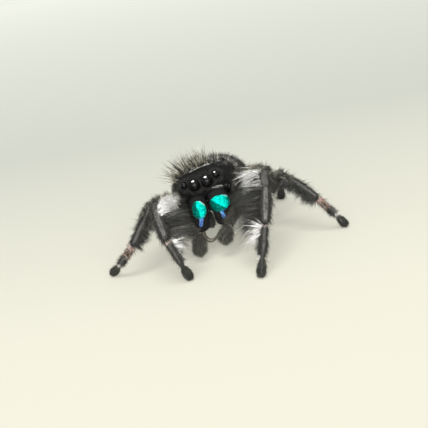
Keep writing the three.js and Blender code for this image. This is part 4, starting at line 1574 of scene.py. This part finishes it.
def bristles():
    """Long stiff hairs that stand out of the coat: on the crown, the legs' outer sides and the abdomen."""
    def forward(at):
        return AHEAD + 0 * at.p

    def outer(at):
        return smoothstep(-0.2, 0.3, at.back) * (at.t < 0.8)

    def right_crown(at):
        return crown(at) * smoothstep(0.9, 0.2, in_head(at)[1])

    shell = FLESH["carapace"]
    groups = [
        crown_bristles(),
        hairs_on(shell, 10, (0.4, 0.85), (50, 88), (0.024, 0.034), crown, forward, wild=0.25,
                 colour=(BLACK, BLACK, OLIVE, STRAW)),
        hairs_on(shell, 32, (1.0, 1.7), (64, 88), (0.03, 0.044), right_crown, forward,
                 colour=(BLACK, OLIVE, STRAW)),
        hairs_on(FLESH["abdomen"], 26, (0.4, 0.8), (35, 65), STIFF, colour=BLACK),
    ]
    for part in parts_of(LEGS, "femur", "tibia", "tarsus"):
        length = (0.24, 0.48) if part.kind == "tarsus" else (0.4, 0.8)
        groups.append(hairs_on(part, 22, length, (40, 75), STIFF, outer, colour=(BLACK, BLACK, OLIVE)))
    return groups


# The pieces of the coat: what grows each, its hairs' number of segments, and the legs or the side it covers.
COAT = {
    "coat_head": (head_fur, 1),
    "coat_abdomen": (abdomen_fur, 1),
    "coat_front_legs": (leg_fur, 1, FRONT_LEGS),
    "coat_rear_legs": (leg_fur, 1, REAR_LEGS),
    "shag_front_legs": (leg_shag, 3, FRONT_LEGS),
    "shag_rear_legs": (leg_shag, 3, REAR_LEGS),
    "fringes_left": (fringes, 3, "left"),
    "fringes_right": (fringes, 3, "right"),
    "white_tufts": (white_tufts, 3),
    "brow": (brow, 3),
    "palp_hair": (palp_hair, 3),
    "bristles": (bristles, 4),
}


# ---------- eyes, jaws, fangs, claws ----------
EYE_SWELL = 0.035
FANG_STOPS = ((0, 0.19), (0.3, 0.17), (0.7, 0.11), (1, 0.04))
CLAW_STOPS = ((0, 0.03), (0.5, 0.024), (1, 0.008))
WRINKLE = 0.012


def eye_piece(name, eye, material):
    """A domed cornea on a slightly narrower neck."""
    profile = half_circle(eye["radius"], 26, EYE_SWELL)
    points, faces = turned("lens", "lens", eye["centre"], eye["look"], profile, sides=40).mesh_data()
    piece = add_object(f"{name}_lens", closed_mesh(name, to_part(points), faces), material)
    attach(piece, "root")
    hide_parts(name)


def jaw_piece(side, material):
    """A wrinkled jaw, with its bare shining place painted on it."""
    points, faces = JAWS[side].mesh_data()
    rings = JAWS[side].rings
    outward = unit(rings - rings.mean(axis=1, keepdims=True)).reshape(-1, 3)
    angle = np.tile(2 * np.pi * np.arange(rings.shape[1]) / rings.shape[1], len(rings))
    t = np.repeat(JAWS[side].t, rings.shape[1])
    wave = np.sin(95 * t + 2.2 * np.sin(2 * angle + 1.0)) * np.sin(41 * t + 3 * angle)
    points[:len(wave)] += outward * (WRINKLE * wave)[:, None]
    mesh = closed_mesh(f"chelicera_{side}", to_part(points), faces)
    for key, values in jaw_shine(side, points).items():
        mesh.attributes.new(key, "FLOAT", "POINT").data.foreach_set("value", values.astype(np.float32))
    piece = add_object(f"jaw_{side}", mesh, material)
    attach(piece, "root")
    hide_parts(f"chelicera_{side}")


def fang_piece(side, material):
    points, faces = tube("fang", "fang", head(FANG[side]), FANG_STOPS).mesh_data()
    mesh = closed_mesh(f"fang_{side}", to_part(points), faces)
    piece = add_object(f"fang_{side}_piece", mesh, material)
    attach(piece, "root")
    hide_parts(f"fang_{side}")


def claws(material):
    """Two small hooked claws at the front of every foot."""
    surfaces = []
    for name in LEGS:
        *_, metatarsus_end, foot, _ = leg_joints(name)
        level = unit((foot - metatarsus_end) * (1, 1, 0))
        across = np.cross(UP, level)
        for turn in (-1, 1):
            start = foot + level * 0.08 + across * 0.08 * turn + UP * 0.06
            bends = ((0, 0), (0.12, 0.02), (0.2, -0.06), (0.22, -0.14))
            line = [start + level * reach + UP * rise for reach, rise in bends]
            surfaces.append(tube("claw", "claw", line, CLAW_STOPS, sides=10, rings=14))
    points, faces = joined(surfaces)
    piece = add_object("claws", closed_mesh("claws", to_part(points), faces), material)
    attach(piece, "root")


# ---------- putting the animal together ----------
HARD_NODES = ("chelicera", "fang", *EYE_RADII)


def dress():
    skin = build_skin()
    points = vertex_vectors(skin, "co")
    colours = skin_colours(points, vertex_vectors(skin, "normal"))
    points[:, 2] = np.maximum(points[:, 2], SKIN_FLOOR)
    tree = BVHTree.FromPolygons([tuple(p) for p in points], [tuple(f.vertices) for f in skin.polygons])
    skin.vertices.foreach_set("co", to_part(points).astype(np.float32).ravel())
    smooth(skin)
    skin.update()
    paint(skin, colours)
    piece = add_object("skin", skin, skin_material())
    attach(piece, "root")
    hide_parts(*[node for node in frame["nodes"] if not node.startswith(HARD_NODES)])
    hair = hair_material()
    for name, (make, segments, *where) in COAT.items():
        hairs = clear_hairs(Hairs.join(make(*where)), tree)
        piece = add_object(name, hair_mesh(name, hairs, segments), hair)
        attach(piece, "root")
    lens = lens_material()
    for name, eye in EYES.items():
        eye_piece(name, eye, lens)
    jaw, fang = jaw_material(), fang_material()
    for side in SIDES:
        jaw_piece(side, jaw)
        fang_piece(side, fang)
    claws(fang)


# ---------- floor, light and camera ----------
# The camera's tilt and roll in degrees, its distance, and how far the eyes lie aside of and above its axis.
VIEW_PITCH = 20
VIEW_ROLL = 10
VIEW_DISTANCE = 60
FOCAL_LENGTH = 75.7
SENSOR = 36
EYES_ASIDE = -0.893
EYES_ABOVE = 2.04
NEAREST = 0.001
FARTHEST = 10
# In metres: half the floor's side, and where it begins and ends to turn grey behind the animal.
FLOOR_HALF = 0.6
FLOOR_FADE = (-0.012, 0.2)
# The share of the floor's brightness that doesn't depend on the lamps, and the level at which they light it.
FLOOR_GLOW = 0.4
FLOOR_LIGHT = 1.3
# The point that the lamps face, and the eyes that mirror a bright window.
LIT_POINT = Vector((0, 0, 0.004))
CATCH_LIT = ("front_middle_eye_left", "front_middle_eye_right", "front_side_eye_left")


def set_camera():
    pitch, roll = math.radians(VIEW_PITCH), math.radians(VIEW_ROLL)
    forward = np.array([0, math.cos(pitch), -math.sin(pitch)])
    level_up = np.array([0, math.sin(pitch), math.cos(pitch)])
    level_right = np.array([1.0, 0, 0])
    up = level_up * math.cos(roll) + level_right * math.sin(roll)
    right = level_right * math.cos(roll) - level_up * math.sin(roll)
    eyes = np.array([0, 0, EYE_LINE_HEIGHT])
    place = eyes - forward * VIEW_DISTANCE - right * EYES_ASIDE - up * EYES_ABOVE
    camera = bpy.data.cameras.new("camera")
    camera.sensor_width = SENSOR
    camera.lens = FOCAL_LENGTH
    camera.clip_start = NEAREST
    camera.clip_end = FARTHEST
    stand = add_object("camera", camera)
    turn = Matrix([(right[i], up[i], -forward[i]) for i in range(3)])
    stand.matrix_world = Matrix.Translation(Vector(to_part(place))) @ turn.to_4x4()
    bpy.context.scene.camera = stand


def set_floor():
    """A pale floor, creamy in front of the animal and greyer behind it, with a little glow of its own."""
    corners = [(x * FLOOR_HALF, y * FLOOR_HALF, 0) for x, y in ((-1, -1), (1, -1), (1, 1), (-1, 1))]
    mesh = bpy.data.meshes.new("floor")
    mesh.from_pydata(corners, [], [(0, 1, 2, 3)])
    made = Material("floor", 0.7, 0.2)
    back = made.add("SeparateXYZ", "Y", {"Vector": made.add("TexCoord", "Object")})
    reach = made.stretch(back, *FLOOR_FADE, kind="LINEAR")
    pale = made.ramp(reach, (0.70, 0.68, 0.57), (0.95, 0.97, 0.86), (0.2, (0.55, 0.565, 0.495)))
    seen = made.add("LightPath", "Is Camera Ray")
    for ray in ("Is Glossy Ray", "Is Transmission Ray"):
        seen = made.math("MAXIMUM", seen, made.add("LightPath", ray))
    glow = made.math("MULTIPLY", seen, FLOOR_GLOW)
    made.shade({
        "Base Color": made.mix(glow, pale, (0, 0, 0)),
        "Emission Color": pale,
        "Emission Strength": made.math("MULTIPLY", glow, FLOOR_LIGHT),
    })
    material = made.material
    add_object("floor", mesh, material)


def area_light(name, place, size, power):
    """A soft rectangular lamp that faces the animal, its first side level from left to right."""
    light = bpy.data.lights.new(name, "AREA")
    light.shape = "RECTANGLE"
    light.size, light.size_y = size
    light.energy = power
    lamp = add_object(name, light)
    back = (Vector(place) - LIT_POINT).normalized()
    across = (Vector((1, 0, 0)) - back * back.x).normalized()
    turn = Matrix((across, back.cross(across), back)).transposed()
    lamp.matrix_world = Matrix.Translation(place) @ turn.to_4x4()
    return lamp


def set_light():
    """Soft lamps overhead and in front, one that only some eyes mirror, and a grey world, dimmer above."""
    world = bpy.data.worlds.new("world")
    nodes = Nodes(world)
    height = nodes.add("SeparateXYZ", "Z", {"Vector": nodes.add("TexCoord", "Generated")})
    grey = nodes.ramp(height, (0.46, 0.465, 0.45), (0.38, 0.39, 0.40))
    nodes.fill(nodes.tree.nodes["Background"], {"Color": grey})
    bpy.context.scene.world = world
    area_light("overhead", (-0.02, -0.08, 0.28), size=(0.2, 0.12), power=0.5)
    area_light("fill", (0, -0.3, 0.12), size=(0.4, 0.25), power=1.3)
    catch_light = area_light("catch_light", (-0.045, 0.035, 0.15), size=(0.09, 0.062), power=2.3)
    catch_light.visible_diffuse = False
    lit = bpy.data.collections.new("eyes_with_catch_light")
    for name in CATCH_LIT:
        lit.objects.link(bpy.data.objects[f"{name}_lens"])
    catch_light.light_linking.receiver_collection = lit


dress()
set_camera()
set_floor()
set_light()
bpy.context.scene.view_settings.view_transform = "Standard"
